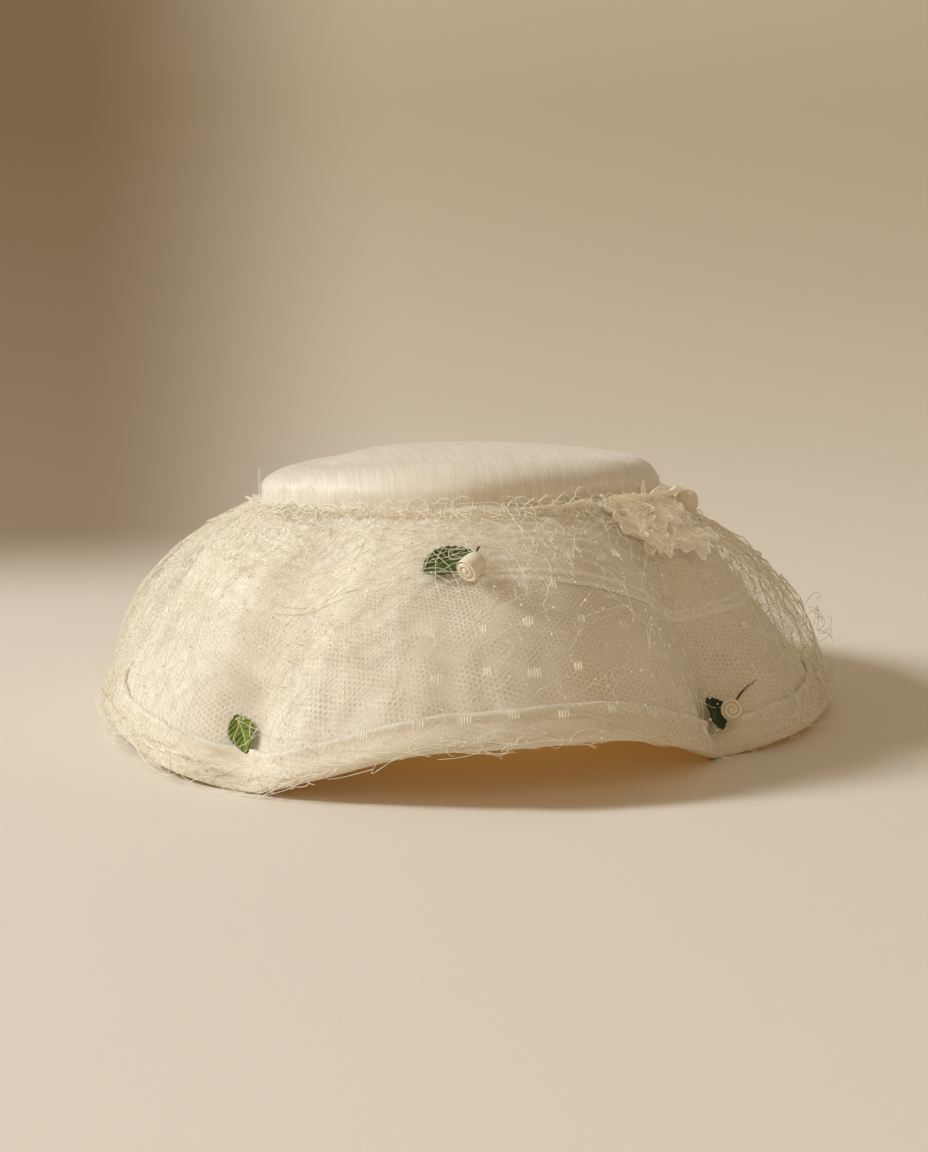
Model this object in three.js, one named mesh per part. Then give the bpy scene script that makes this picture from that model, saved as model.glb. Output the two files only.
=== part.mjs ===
// A picture hat: a shallow fabric-covered crown on a wide, drooping mushroom brim.
// The brim is pinched at its two front corners, so its front edge lifts in an arch between them.
// A hem of folded tulle binds the edge, a pleated tulle scarf is swathed round the upper brim, a frill
// stands round the foot of the crown, and a coarse net veil lies over it all.
// Small leaves and rolled buds on wire stems are sewn at the corners, the front and one side.
//
// Units are millimetres, +Z is up, and the front of the hat faces -Y. Azimuth 0 is the front of the hat
// and +90 is +X. The origin is on the surface that the hat stands on, under the middle of its outline.

import * as THREE from 'three';

// Gap between sewn pieces.
const SEAM_GAP = 0.3;

// Crown.
const CROWN_WIDTH = 182;
const CROWN_LENGTH = 198;
const CROWN_HEIGHT = 24;
const CROWN_WALL = 2;
const CROWN_DOME = 5;
// The shoulder is a quarter oval, wider than it is high.
const SHOULDER_WIDTH = 24;
const SHOULDER_DROP = 14;
// The crown leans back, because the front of the brim is deeper than the back.
const CROWN_LEAN_DEG = 6;
const CROWN_BASE_HEIGHT = 94;
// The top's rings lie at these shares of its radius, and the shoulder's at these turns from the wall up.
const DOME_SHARES = [0.3, 0.6, 0.85];
const SHOULDER_TURNS = [90, 66, 42, 20, 0];
const INNER_SHOULDER_TURNS = [0, 45, 90];

// Brim.
const BRIM_REACH = 175;
const BRIM_WALL = 2;
const ARCH_LIFT = 24;
const COLLAR_HEIGHT = 8;
const PINCH_DEPTH = 5;
const PINCH_RIDGE = 3;
const PINCH_WIDTH_DEG = 5;
// A pinch grows between these shares of the slope, and eases by this much towards the edge.
const PINCH_START = 0.45;
const PINCH_FULL = 0.85;
const PINCH_EASE = 0.6;

// Hem round the brim's edge.
const HEM_WALL = 1.2;
const HEM_HEIGHT = 13;

// Pleated scarf round the upper brim.
const SWATHE_WALL = 1.4;
const SWATHE_SEAT = 2 * SEAM_GAP;
const SWATHE_TOP = 0.07;
const PLEAT_HEIGHT = 1.3;

// Frill at the foot of the crown.
const FRILL_WALL = 1.2;
const FRILL_HEIGHT = 13;
const FRILL_FLARE = 9;
const FRILL_WAVE = 1.8;
const FRILL_WAVES = 20;
const FRILL_STEPS_PER_WAVE = 4;
// How far the frill's foot stands out from the crown's wall.
const FRILL_FOOT_OUT = 1.1;

// Net veil.
const VEIL_THICKNESS = 1;
const STRAND_WIDTH = 2.2;
const VEIL_STANDOFF = 9;
// Above 1, the veil's widest bulge hangs below the middle of the slope.
const VEIL_SAG = 1.5;
const VEIL_COLUMNS = 18;
const VEIL_ROWS = 6;
// The net is turned by this much, so that the buds stand in its gaps.
const VEIL_TURN_DEG = 5.5;
const VEIL_TOP = 0.04;
const VEIL_FOOT = 0.97;

// Leaves and buds.
const LEAF_LENGTH = 21;
const LEAF_WIDTH = 13;
const LEAF_THICKNESS = 0.8;
const LEAF_FOLD = 1.1;
// A leaf's outline has this many steps, every second one a tooth of this share of its width.
const LEAF_STEPS = 12;
const LEAF_TOOTH = 0.06;
// The width at a leaf's ends, as a share of its half width, and how much it swells between them.
const LEAF_END = 0.12;
const LEAF_SWELL = 0.94;
// The height that a leaf is lifted by where it bridges a pinch's valley.
const LEAF_BRIDGE = 0.9;
const BUD_RADIUS = 4.8;
const BUD_DEPTH = 8.6;
const BUD_SIDES = 11;
const BUD_BACK_STEPS = 4;
const STEM_RADIUS = 0.5;
const STEM_LENGTH = 13;
// The sprigs rest on the highest cloth within this distance up and down the slope.
const SEAT_REACH = 2.4;

// The brim's outline: reach is a share of BRIM_REACH and lift a share of ARCH_LIFT. The slope's curve
// leaves the crown towards a point that is out and up by these shares of the brim's overhang and drop.
const BRIM_SECTIONS = [
  { azimuth: -180, reach: 0.914, lift: 0.0, out: 0.5, up: 0.75 },
  { azimuth: -150, reach: 0.93, lift: 0.0, out: 0.5, up: 0.75 },
  { azimuth: -122, reach: 0.925, lift: 0.04, out: 0.53, up: 0.77 },
  { azimuth: -90, reach: 0.915, lift: 0.14, out: 0.55, up: 0.78 },
  { azimuth: -66, reach: 0.95, lift: 0.18, out: 0.54, up: 0.77 },
  { azimuth: -49, reach: 1.0, lift: 0.12, out: 0.5, up: 0.73 },
  { azimuth: -38, reach: 0.989, lift: 0.0, out: 0.46, up: 0.68 },
  { azimuth: -28, reach: 0.989, lift: 0.36, out: 0.5, up: 0.77 },
  { azimuth: -14, reach: 0.983, lift: 0.88, out: 0.55, up: 0.82 },
  { azimuth: 0, reach: 0.98, lift: 1.0, out: 0.58, up: 0.84 },
  { azimuth: 15, reach: 0.966, lift: 0.98, out: 0.56, up: 0.82 },
  { azimuth: 29, reach: 0.914, lift: 0.5, out: 0.5, up: 0.76 },
  { azimuth: 41, reach: 0.846, lift: 0.0, out: 0.46, up: 0.66 },
  { azimuth: 53, reach: 0.92, lift: 0.16, out: 0.48, up: 0.7 },
  { azimuth: 70, reach: 0.955, lift: 0.18, out: 0.46, up: 0.7 },
  { azimuth: 90, reach: 0.982, lift: 0.13, out: 0.45, up: 0.69 },
  { azimuth: 122, reach: 0.966, lift: 0.03, out: 0.47, up: 0.72 },
  { azimuth: 150, reach: 0.937, lift: 0.0, out: 0.5, up: 0.75 },
];

// Each pinch is a valley at its azimuth, beside a ridge on the side of the front lobe.
const PINCHES = [
  { azimuth: -40, ridgeAzimuth: -33 },
  { azimuth: 42, ridgeAzimuth: 35 },
];

// How far down the brim the scarf's lower fold lies, as a share of the slope.
const SWATHE_FOLD = [
  { azimuth: -180, fold: 0.5 },
  { azimuth: -90, fold: 0.46 },
  { azimuth: -50, fold: 0.43 },
  { azimuth: -10, fold: 0.38 },
  { azimuth: 25, fold: 0.43 },
  { azimuth: 50, fold: 0.51 },
  { azimuth: 90, fold: 0.52 },
];

// The scarf's pleats: across is a share of its width from the crown down, rise a share of PLEAT_HEIGHT.
const SWATHE_PLEATS = [
  { across: 0.0, rise: 0.2 },
  { across: 0.14, rise: 0.9 },
  { across: 0.27, rise: 0.15 },
  { across: 0.42, rise: 1.0 },
  { across: 0.56, rise: 0.2 },
  { across: 0.7, rise: 0.8 },
  { across: 0.82, rise: 0.1 },
  { across: 0.93, rise: 0.7 },
  { across: 1.0, rise: 0.3 },
];

// The frill is tallest at the right of the front: height is a share of FRILL_HEIGHT, flare of FRILL_FLARE.
const FRILL_SECTIONS = [
  { azimuth: -180, height: 0.55, flare: 0.6 },
  { azimuth: -90, height: 0.35, flare: 0.45 },
  { azimuth: -40, height: 0.35, flare: 0.4 },
  { azimuth: 0, height: 0.4, flare: 0.5 },
  { azimuth: 30, height: 0.6, flare: 0.8 },
  { azimuth: 55, height: 1.0, flare: 1.0 },
  { azimuth: 85, height: 0.8, flare: 0.9 },
  { azimuth: 130, height: 0.6, flare: 0.7 },
];

// How far the veil stands off the middle of the slope, as a share of VEIL_STANDOFF.
const VEIL_SECTIONS = [
  { azimuth: -180, standoff: 0.85 },
  { azimuth: -130, standoff: 1.2 },
  { azimuth: -90, standoff: 1.4 },
  { azimuth: -50, standoff: 0.9 },
  { azimuth: 0, standoff: 0.7 },
  { azimuth: 45, standoff: 0.85 },
  { azimuth: 80, standoff: 1.7 },
  { azimuth: 110, standoff: 1.9 },
  { azimuth: 145, standoff: 1.1 },
];

// Where each sprig is sewn: down is a share of the slope, turn and lean are in degrees. A leaf follows
// this share of the pinch under it, and is lifted by this share of LEAF_BRIDGE.
const LEAVES = [
  { name: 'leaf_left', azimuth: -42, down: 0.86, turn: -42, size: 0.85, pinched: 1, lift: 0 },
  { name: 'leaf_front', azimuth: -10, down: 0.335, turn: 25, size: 1, pinched: 1, lift: 0 },
  { name: 'leaf_right', azimuth: 40.5, down: 0.865, turn: 22, size: 0.74, pinched: 0.4, lift: 1 },
];
const BUDS = [
  { name: 'bud_front', azimuth: -5.3, down: 0.39, leanDown: 38, leanRight: -12 },
  { name: 'bud_right', azimuth: 46, down: 0.88, leanDown: -4, leanRight: -24 },
  { name: 'bud_side', azimuth: 76, down: 0.1, leanDown: -30, leanRight: 35 },
];
// The length of a stem is a share of STEM_LENGTH.
const STEMS = [
  { name: 'stem_front', bud: 'bud_front', length: 0.46, turn: 80 },
  { name: 'stem_right', bud: 'bud_right', length: 1, turn: 36 },
  { name: 'stem_side', bud: 'bud_side', length: 0.46, turn: 200 },
];

// The open face of a bud, from its rim to its middle: out is a share of BUD_RADIUS, and up a share of the
// barrel's depth. The rolled petal steps down twice.
const BUD_ROLLS = [
  { out: 0.98, up: 1 },
  { out: 0.84, up: 1 },
  { out: 0.74, up: 0.72 },
  { out: 0.6, up: 0.95 },
  { out: 0.46, up: 0.95 },
  { out: 0.36, up: 0.65 },
  { out: 0.18, up: 0.85 },
  { out: 0, up: 0.85 },
];

// A stem's route as shares of its length: it lies on the cloth, then bends aside and springs up.
const STEM_ROUTE = [
  { along: 0, aside: 0, rise: 0 },
  { along: 0.3, aside: 0.05, rise: 0 },
  { along: 0.65, aside: 0.03, rise: 0.06 },
  { along: 1, aside: -0.06, rise: 0.22 },
];

const FABRIC = { color: 0xe9dcc0, roughness: 0.75, metalness: 0 };
const FINISHES = {
  crownCloth: new THREE.MeshStandardMaterial({ ...FABRIC, color: 0xe8d9bb, roughness: 0.6 }),
  brimCloth: new THREE.MeshStandardMaterial({ ...FABRIC, color: 0xe6d8ba, roughness: 0.85 }),
  tulle: new THREE.MeshStandardMaterial({ ...FABRIC, color: 0xeee4cc }),
  net: new THREE.MeshStandardMaterial({ ...FABRIC, color: 0xefe3c4, roughness: 0.7 }),
  leaf: new THREE.MeshStandardMaterial({ color: 0x3c5a1e, roughness: 0.65, metalness: 0 }),
  bud: new THREE.MeshStandardMaterial({ color: 0xe6d8b4, roughness: 0.6, metalness: 0 }),
  wire: new THREE.MeshStandardMaterial({ color: 0x6b4a22, roughness: 0.6, metalness: 0.2 }),
};

const radians = THREE.MathUtils.degToRad;
const UP = new THREE.Vector3(0, 0, 1);
const AZIMUTH_STEP = 9;
const PINCH_STEPS = [-9, -6, -3, 0, 3, 6, 9];
const CLOSEST_STATIONS = 1.6;

// The value of a table's column at an azimuth, on a smooth closed curve through its rows.
function around(rows, column, azimuth) {
  const turn = ((azimuth + 180) % 360 + 360) % 360 - 180;
  const count = rows.length;
  const at = (i) => {
    const row = rows[((i % count) + count) % count];
    return { x: row.azimuth + 360 * Math.floor(i / count), y: row[column] };
  };
  let i = count - 1;
  while (i > 0 && rows[i].azimuth > turn) {
    i -= 1;
  }
  const [a, b, c, d] = [at(i - 1), at(i), at(i + 1), at(i + 2)];
  const t = (turn - b.x) / (c.x - b.x);
  const riseB = ((c.y - a.y) / (c.x - a.x)) * (c.x - b.x);
  const riseC = ((d.y - b.y) / (d.x - b.x)) * (c.x - b.x);
  const s = 1 - t;
  return b.y * s * s * (1 + 2 * t) + riseB * t * s * s + c.y * t * t * (1 + 2 * s) - riseC * t * t * s;
}

function smoothstep(low, high, value) {
  const t = THREE.MathUtils.clamp((value - low) / (high - low), 0, 1);
  return t * t * (3 - 2 * t);
}

function fromPolar(azimuth, radius, height) {
  const a = radians(azimuth);
  return new THREE.Vector3(radius * Math.sin(a), -radius * Math.cos(a), height);
}

// The crown's oval, as a distance from its axis.
function ovalRadius(azimuth) {
  const a = radians(azimuth);
  return 1 / Math.hypot(Math.sin(a) / (CROWN_WIDTH / 2), Math.cos(a) / (CROWN_LENGTH / 2));
}

// A point of the crown: inset is measured in from its wall, height up from its foot along its axis.
function crownPoint(azimuth, inset, height) {
  const point = fromPolar(azimuth, ovalRadius(azimuth) - inset, height);
  point.applyAxisAngle(new THREE.Vector3(1, 0, 0), -radians(CROWN_LEAN_DEG));
  point.z += CROWN_BASE_HEIGHT;
  return point;
}

// The height of the crown's domed top, where share runs from 0 at its middle to 1 at the shoulder.
function domeHeight(share) {
  return CROWN_HEIGHT + CROWN_DOME * (1 - share * share);
}

function brimLift(azimuth) {
  return Math.max(0, around(BRIM_SECTIONS, 'lift', azimuth)) * ARCH_LIFT;
}

// The drop of the brim at an azimuth, from the crown's foot to its edge.
function brimDrop(azimuth) {
  return crownPoint(azimuth, 0, 0).z - brimLift(azimuth);
}

// How far a pinch pushes the slope out, beside its azimuth and towards the edge.
function pinchAt(azimuth, down) {
  let push = 0;
  for (const pinch of PINCHES) {
    const valley = (azimuth - pinch.azimuth) / PINCH_WIDTH_DEG;
    const ridge = (azimuth - pinch.ridgeAzimuth) / PINCH_WIDTH_DEG;
    push += PINCH_RIDGE * Math.exp(-ridge * ridge) - PINCH_DEPTH * Math.exp(-valley * valley);
  }
  const grown = smoothstep(PINCH_START, PINCH_FULL, down);
  return push * grown * (1 - PINCH_EASE * smoothstep(PINCH_FULL, 1, down));
}

// A point of the brim's outer face: down runs from 0 at the crown to 1 at the edge.
function slopePoint(azimuth, down, pinched) {
  const foot = crownPoint(azimuth, 0, 0);
  const footRadius = Math.hypot(foot.x, foot.y);
  const reach = around(BRIM_SECTIONS, 'reach', azimuth) * BRIM_REACH;
  const lift = brimLift(azimuth);
  const out = footRadius + around(BRIM_SECTIONS, 'out', azimuth) * (reach - footRadius);
  const up = lift + around(BRIM_SECTIONS, 'up', azimuth) * (foot.z - lift);
  const rest = 1 - down;
  const radius = rest * rest * footRadius + 2 * rest * down * out + down * down * reach;
  const height = rest * rest * foot.z + 2 * rest * down * up + down * down * lift;
  return fromPolar(azimuth, radius + pinched * pinchAt(azimuth, down), height);
}

function slopeNormal(azimuth, down, pinched) {
  const step = 0.01;
  const along = slopePoint(azimuth, down + step, pinched).sub(slopePoint(azimuth, down - step, pinched));
  const across = slopePoint(azimuth + 1, down, pinched).sub(slopePoint(azimuth - 1, down, pinched));
  return along.cross(across).normalize();
}

// A point that stands off the brim's outer face.
function offSlope(azimuth, down, offset, pinched = 1) {
  return slopePoint(azimuth, down, pinched).addScaledVector(slopeNormal(azimuth, down, pinched), offset);
}

// How far down the slope a point lies that is this much higher than the edge.
function downAtHeight(azimuth, heightAboveEdge) {
  const up = around(BRIM_SECTIONS, 'up', azimuth);
  const share = heightAboveEdge / brimDrop(azimuth);
  const rest = (-up + Math.sqrt(up * up + (1 - 2 * up) * share)) / (1 - 2 * up);
  return 1 - rest;
}

// The azimuths of the sections that the ring-shaped pieces share, closer together at the pinches.
function sectionAzimuths() {
  const close = PINCHES.flatMap((pinch) => PINCH_STEPS.map((step) => pinch.azimuth + step));
  const azimuths = [...close];
  for (let azimuth = -180; azimuth < 180; azimuth += AZIMUTH_STEP) {
    if (close.every((other) => Math.abs(other - azimuth) > CLOSEST_STATIONS)) {
      azimuths.push(azimuth);
    }
  }
  return azimuths.sort((a, b) => a - b);
}

function signedVolume(points, triangles) {
  let volume = 0;
  for (const [a, b, c] of triangles) {
    volume += points[a].dot(points[b].clone().cross(points[c])) / 6;
  }
  return volume;
}

// A named mesh with a finish of its own.
function named(name, geometry, finish) {
  const material = finish.clone();
  material.name = name;
  const mesh = new THREE.Mesh(geometry, material);
  mesh.name = name;
  return mesh;
}

// A named mesh from shared points and triangles, with its faces pointing out.
function solid(name, points, triangles, finish) {
  const outward = signedVolume(points, triangles) > 0;
  const index = triangles.flatMap(([a, b, c]) => (outward ? [a, b, c] : [a, c, b]));
  const geometry = new THREE.BufferGeometry().setFromPoints(points);
  geometry.setIndex(index);
  geometry.computeVertexNormals();
  return named(name, geometry, finish);
}

// A ring whose every section is a closed loop with the same number of points.
function ringSolid(name, loops, finish) {
  const size = loops[0].length;
  const triangles = [];
  loops.forEach((_, i) => {
    const next = (i + 1) % loops.length;
    for (let j = 0; j < size; j += 1) {
      const k = (j + 1) % size;
      const corners = [i * size + j, next * size + j, next * size + k, i * size + k];
      triangles.push([corners[0], corners[1], corners[2]], [corners[0], corners[2], corners[3]]);
    }
  });
  return solid(name, loops.flat(), triangles, finish);
}

// A closed cup from rings of points, which are capped by a middle point at the first and the last ring.
function cupSolid(name, firstMiddle, rings, lastMiddle, finish) {
  const size = rings[0].length;
  const points = [firstMiddle, ...rings.flat(), lastMiddle];
  const last = points.length - 1;
  const at = (ring, i) => 1 + ring * size + (i % size);
  const triangles = [];
  for (let i = 0; i < size; i += 1) {
    triangles.push([0, at(0, i), at(0, i + 1)]);
    for (let ring = 0; ring + 1 < rings.length; ring += 1) {
      triangles.push([at(ring, i), at(ring + 1, i), at(ring + 1, i + 1)]);
      triangles.push([at(ring, i), at(ring + 1, i + 1), at(ring, i + 1)]);
    }
    triangles.push([last, at(rings.length - 1, i + 1), at(rings.length - 1, i)]);
  }
  return solid(name, points, triangles, finish);
}

// The crown's outer and inner faces, as rings that are inset from its wall.
function makeCrown(azimuths) {
  const ring = (inset, height) => azimuths.map((azimuth) => crownPoint(azimuth, inset, height));
  const shrunk = (share) => azimuths.map((azimuth) => {
    const radius = ovalRadius(azimuth);
    const inset = radius - (radius - SHOULDER_WIDTH) * share;
    return crownPoint(azimuth, inset, domeHeight(share));
  });
  const shoulder = (wall, turns) => turns.map((turn) => ring(
    SHOULDER_WIDTH - (SHOULDER_WIDTH - wall) * Math.cos(radians(turn)),
    CROWN_HEIGHT - SHOULDER_DROP + (SHOULDER_DROP - wall) * Math.sin(radians(turn)),
  ));
  const rings = [
    ...DOME_SHARES.map(shrunk),
    ...shoulder(0, SHOULDER_TURNS),
    ring(0, SEAM_GAP),
    ring(CROWN_WALL, SEAM_GAP),
    ...shoulder(CROWN_WALL, INNER_SHOULDER_TURNS),
  ];
  const onAxis = (height) => crownPoint(0, ovalRadius(0), height);
  const top = onAxis(domeHeight(0));
  const ceiling = onAxis(CROWN_HEIGHT - CROWN_WALL);
  return cupSolid('crown', top, rings, ceiling, FINISHES.crownCloth);
}

// The brim's shell, with a collar that stands inside the crown.
function makeBrim(azimuths) {
  const collarInset = CROWN_WALL + SEAM_GAP;
  const innerInset = collarInset + BRIM_WALL;
  const shares = [0, 0.1, 0.25, 0.42, 0.6, 0.8];
  const loops = azimuths.map((azimuth) => {
    const bound = [HEM_HEIGHT, HEM_HEIGHT / 2, HEM_WALL + 2 * BRIM_WALL];
    const hemmed = bound.map((height) => downAtHeight(azimuth, height));
    const downs = [...shares.map((share) => share * hemmed[0]), ...hemmed];
    const outer = downs.map((down) => offSlope(azimuth, down, 0));
    const inner = downs.map((down) => offSlope(azimuth, down, -BRIM_WALL)).reverse();
    return [
      crownPoint(azimuth, collarInset, COLLAR_HEIGHT),
      crownPoint(azimuth, collarInset, 0),
      ...outer,
      ...inner,
      crownPoint(azimuth, innerInset, -BRIM_WALL),
      crownPoint(azimuth, innerInset, COLLAR_HEIGHT),
    ];
  });
  return ringSolid('brim', loops, FINISHES.brimCloth);
}

// The hem is folded round the edge like a channel, and its underside is flat where it meets the ground.
function makeHem(azimuths) {
  const outside = SEAM_GAP + HEM_WALL;
  const inside = BRIM_WALL + SEAM_GAP + HEM_WALL;
  const loops = azimuths.map((azimuth) => {
    const lift = brimLift(azimuth);
    const down = (height) => downAtHeight(azimuth, height);
    const face = (height, offset) => offSlope(azimuth, down(height), offset);
    const foot = (height, offset) => {
      const tilt = slopeNormal(azimuth, down(height), 0).z;
      return face(height - offset * tilt, offset).setZ(lift + height);
    };
    return [
      face(HEM_HEIGHT, SEAM_GAP),
      face(HEM_HEIGHT / 2, SEAM_GAP),
      foot(HEM_WALL, SEAM_GAP),
      foot(HEM_WALL, HEM_WALL - inside),
      face(HEM_HEIGHT / 2, HEM_WALL - inside),
      face(HEM_HEIGHT, HEM_WALL - inside),
      face(HEM_HEIGHT, -inside),
      face(HEM_HEIGHT / 2, -inside),
      foot(0, -inside),
      foot(0, outside),
      face(HEM_HEIGHT / 2, outside),
      face(HEM_HEIGHT, outside),
    ];
  });
  return ringSolid('brim_hem', loops, FINISHES.tulle);
}

// How far the scarf's outer face stands off the brim.
function swatheOutside(azimuth, across) {
  const rows = SWATHE_PLEATS;
  const i = Math.max(1, rows.findIndex((row) => row.across >= across));
  const share = (across - rows[i - 1].across) / (rows[i].across - rows[i - 1].across);
  const rise = THREE.MathUtils.lerp(rows[i - 1].rise, rows[i].rise, share);
  return SWATHE_SEAT + SWATHE_WALL + rise * PLEAT_HEIGHT;
}

// The scarf is pleated lengthwise, so each section crosses all its pleats.
function makeSwathe(azimuths) {
  const innerShares = [1, 0.67, 0.33, 0];
  const loops = azimuths.map((azimuth) => {
    const fold = around(SWATHE_FOLD, 'fold', azimuth);
    const down = (across) => THREE.MathUtils.lerp(SWATHE_TOP, fold, across);
    const pleat = ({ across }) => offSlope(azimuth, down(across), swatheOutside(azimuth, across));
    const outer = SWATHE_PLEATS.map(pleat);
    const inner = innerShares.map((across) => offSlope(azimuth, down(across), SWATHE_SEAT));
    return [...outer, ...inner];
  });
  return ringSolid('tulle_swathe', loops, FINISHES.tulle);
}

// The frill stands on the brim beside the crown's wall and waves more towards its free edge.
function makeFrill() {
  const stations = FRILL_WAVES * FRILL_STEPS_PER_WAVE;
  const loops = Array.from({ length: stations }, (_, i) => {
    const azimuth = (i * 360) / stations - 180;
    const phase = (2 * Math.PI * i) / FRILL_STEPS_PER_WAVE + Math.PI / 4;
    const wave = Math.sin(phase) * FRILL_WAVE;
    const height = around(FRILL_SECTIONS, 'height', azimuth) * FRILL_HEIGHT;
    const flare = around(FRILL_SECTIONS, 'flare', azimuth) * FRILL_FLARE;
    const stand = (share) => FRILL_FOOT_OUT + flare * share * share + wave * share;
    const at = (share, out) => crownPoint(azimuth, -(stand(share) + out), SEAM_GAP + height * share);
    return [at(0, 0), at(0.5, 0), at(1, 0), at(1, FRILL_WALL), at(0.5, FRILL_WALL), at(0, FRILL_WALL)];
  });
  return ringSolid('tulle_frill', loops, FINISHES.tulle);
}

// How far the veil's inner face stands off the slope.
function veilOffset(azimuth, down) {
  const middle = around(VEIL_SECTIONS, 'standoff', azimuth) * VEIL_STANDOFF;
  const top = SWATHE_SEAT + SWATHE_WALL + PLEAT_HEIGHT + SEAM_GAP;
  const foot = SEAM_GAP + HEM_WALL + SEAM_GAP + PINCH_RIDGE / 2;
  const bulge = middle * Math.sin(Math.PI * down ** VEIL_SAG);
  return top * (1 - down * down) + bulge + foot * down * down;
}

// The net: knots in staggered rows, joined by strands round diamond gaps. Each gap's rim is inset from the
// lines between its four knots, and both faces and the rims' walls close one body.
function makeVeil() {
  const width = 360 / VEIL_COLUMNS;
  const rise = (VEIL_FOOT - VEIL_TOP) / VEIL_ROWS;
  const points = [];
  const triangles = [];
  const indexOf = new Map();
  const face = (column, row, layer) => {
    const halfColumns = 2 * VEIL_COLUMNS;
    const key = `${((column % halfColumns) + halfColumns) % halfColumns} ${row} ${layer}`;
    if (!indexOf.has(key)) {
      indexOf.set(key, points.length);
      const azimuth = VEIL_TURN_DEG + (column * width) / 2;
      const down = VEIL_TOP + row * rise;
      points.push(offSlope(azimuth, down, veilOffset(azimuth, down) + layer * VEIL_THICKNESS, 0));
    }
    return indexOf.get(key);
  };
  const quad = (a, b, c, d) => triangles.push([a, b, c], [a, c, d]);
  const insetPoint = (azimuth, down, layer) => {
    points.push(offSlope(azimuth, down, veilOffset(azimuth, down) + layer * VEIL_THICKNESS, 0));
    return points.length - 1;
  };
  const cell = (column, row, open) => {
    const corners = [[column, row - 1], [column + 1, row], [column, row + 1], [column - 1, row]];
    const outer = [0, 1].map((layer) => corners.map(([c, r]) => face(c, r, layer)));
    const azimuth = VEIL_TURN_DEG + (column * width) / 2;
    const down = VEIL_TOP + row * rise;
    const cellWidth = radians(width / 2) * slopePoint(azimuth, down, 0).setZ(0).length();
    const cellRise = offSlope(azimuth, down + rise, 0, 0).distanceTo(offSlope(azimuth, down, 0, 0));
    const inset = STRAND_WIDTH / 2 * Math.hypot(cellWidth, cellRise) / (cellWidth * cellRise);
    const shrink = 1 - inset;
    const rims = [0, 1].map((layer) => corners.map(([c, r]) => insetPoint(
      azimuth + (c - column) * (width / 2) * shrink,
      down + (r - row) * rise * shrink,
      layer,
    )));
    for (let i = 0; i < 4; i += 1) {
      const k = (i + 1) % 4;
      quad(outer[1][i], outer[1][k], rims[1][k], rims[1][i]);
      quad(outer[0][k], outer[0][i], rims[0][i], rims[0][k]);
      quad(rims[1][i], rims[1][k], rims[0][k], rims[0][i]);
      if (open.includes(i)) {
        quad(outer[1][k], outer[1][i], outer[0][i], outer[0][k]);
      }
    }
  };
  for (let row = 1; row < VEIL_ROWS; row += 1) {
    for (let i = 0; i < VEIL_COLUMNS; i += 1) {
      const column = 2 * i + (row % 2 === 1 ? 0 : 1);
      const open = [];
      if (row === 1) {
        open.push(3, 0);
      }
      if (row === VEIL_ROWS - 1) {
        open.push(1, 2);
      }
      cell(column, row, open);
    }
  }
  return solid('veil', points, triangles, FINISHES.net);
}

// The offset of the uppermost layer of cloth at a place on the brim: the scarf, the hem or the brim itself.
function layerTop(azimuth, down) {
  const fold = around(SWATHE_FOLD, 'fold', azimuth);
  const across = THREE.MathUtils.clamp((down - SWATHE_TOP) / (fold - SWATHE_TOP), 0, 1);
  const hemTop = downAtHeight(azimuth, HEM_HEIGHT);
  const scarf = swatheOutside(azimuth, across) * (1 - smoothstep(fold + 0.01, fold + 0.06, down));
  const hem = (SEAM_GAP + HEM_WALL) * smoothstep(hemTop - 0.07, hemTop - 0.02, down);
  return Math.max(scarf, hem);
}

// A place on the cloth, from a middle: u runs round the brim, v up its slope, and rise off the cloth.
function onCloth({ azimuth, down, pinched = 1 }, u, v, rise) {
  const step = 0.01;
  const here = slopePoint(azimuth, down, 0);
  const perDegree = here.distanceTo(slopePoint(azimuth + 1, down, 0));
  const perShare = here.distanceTo(slopePoint(azimuth, down + step, 0)) / step;
  const a = azimuth + u / perDegree;
  const d = down - v / perShare;
  const nearby = [-1, -0.5, 0, 0.5, 1].map((away) => layerTop(a, d + (away * SEAT_REACH) / perShare));
  return offSlope(a, d, Math.max(...nearby) + 2 * SEAM_GAP + rise, pinched);
}

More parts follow.
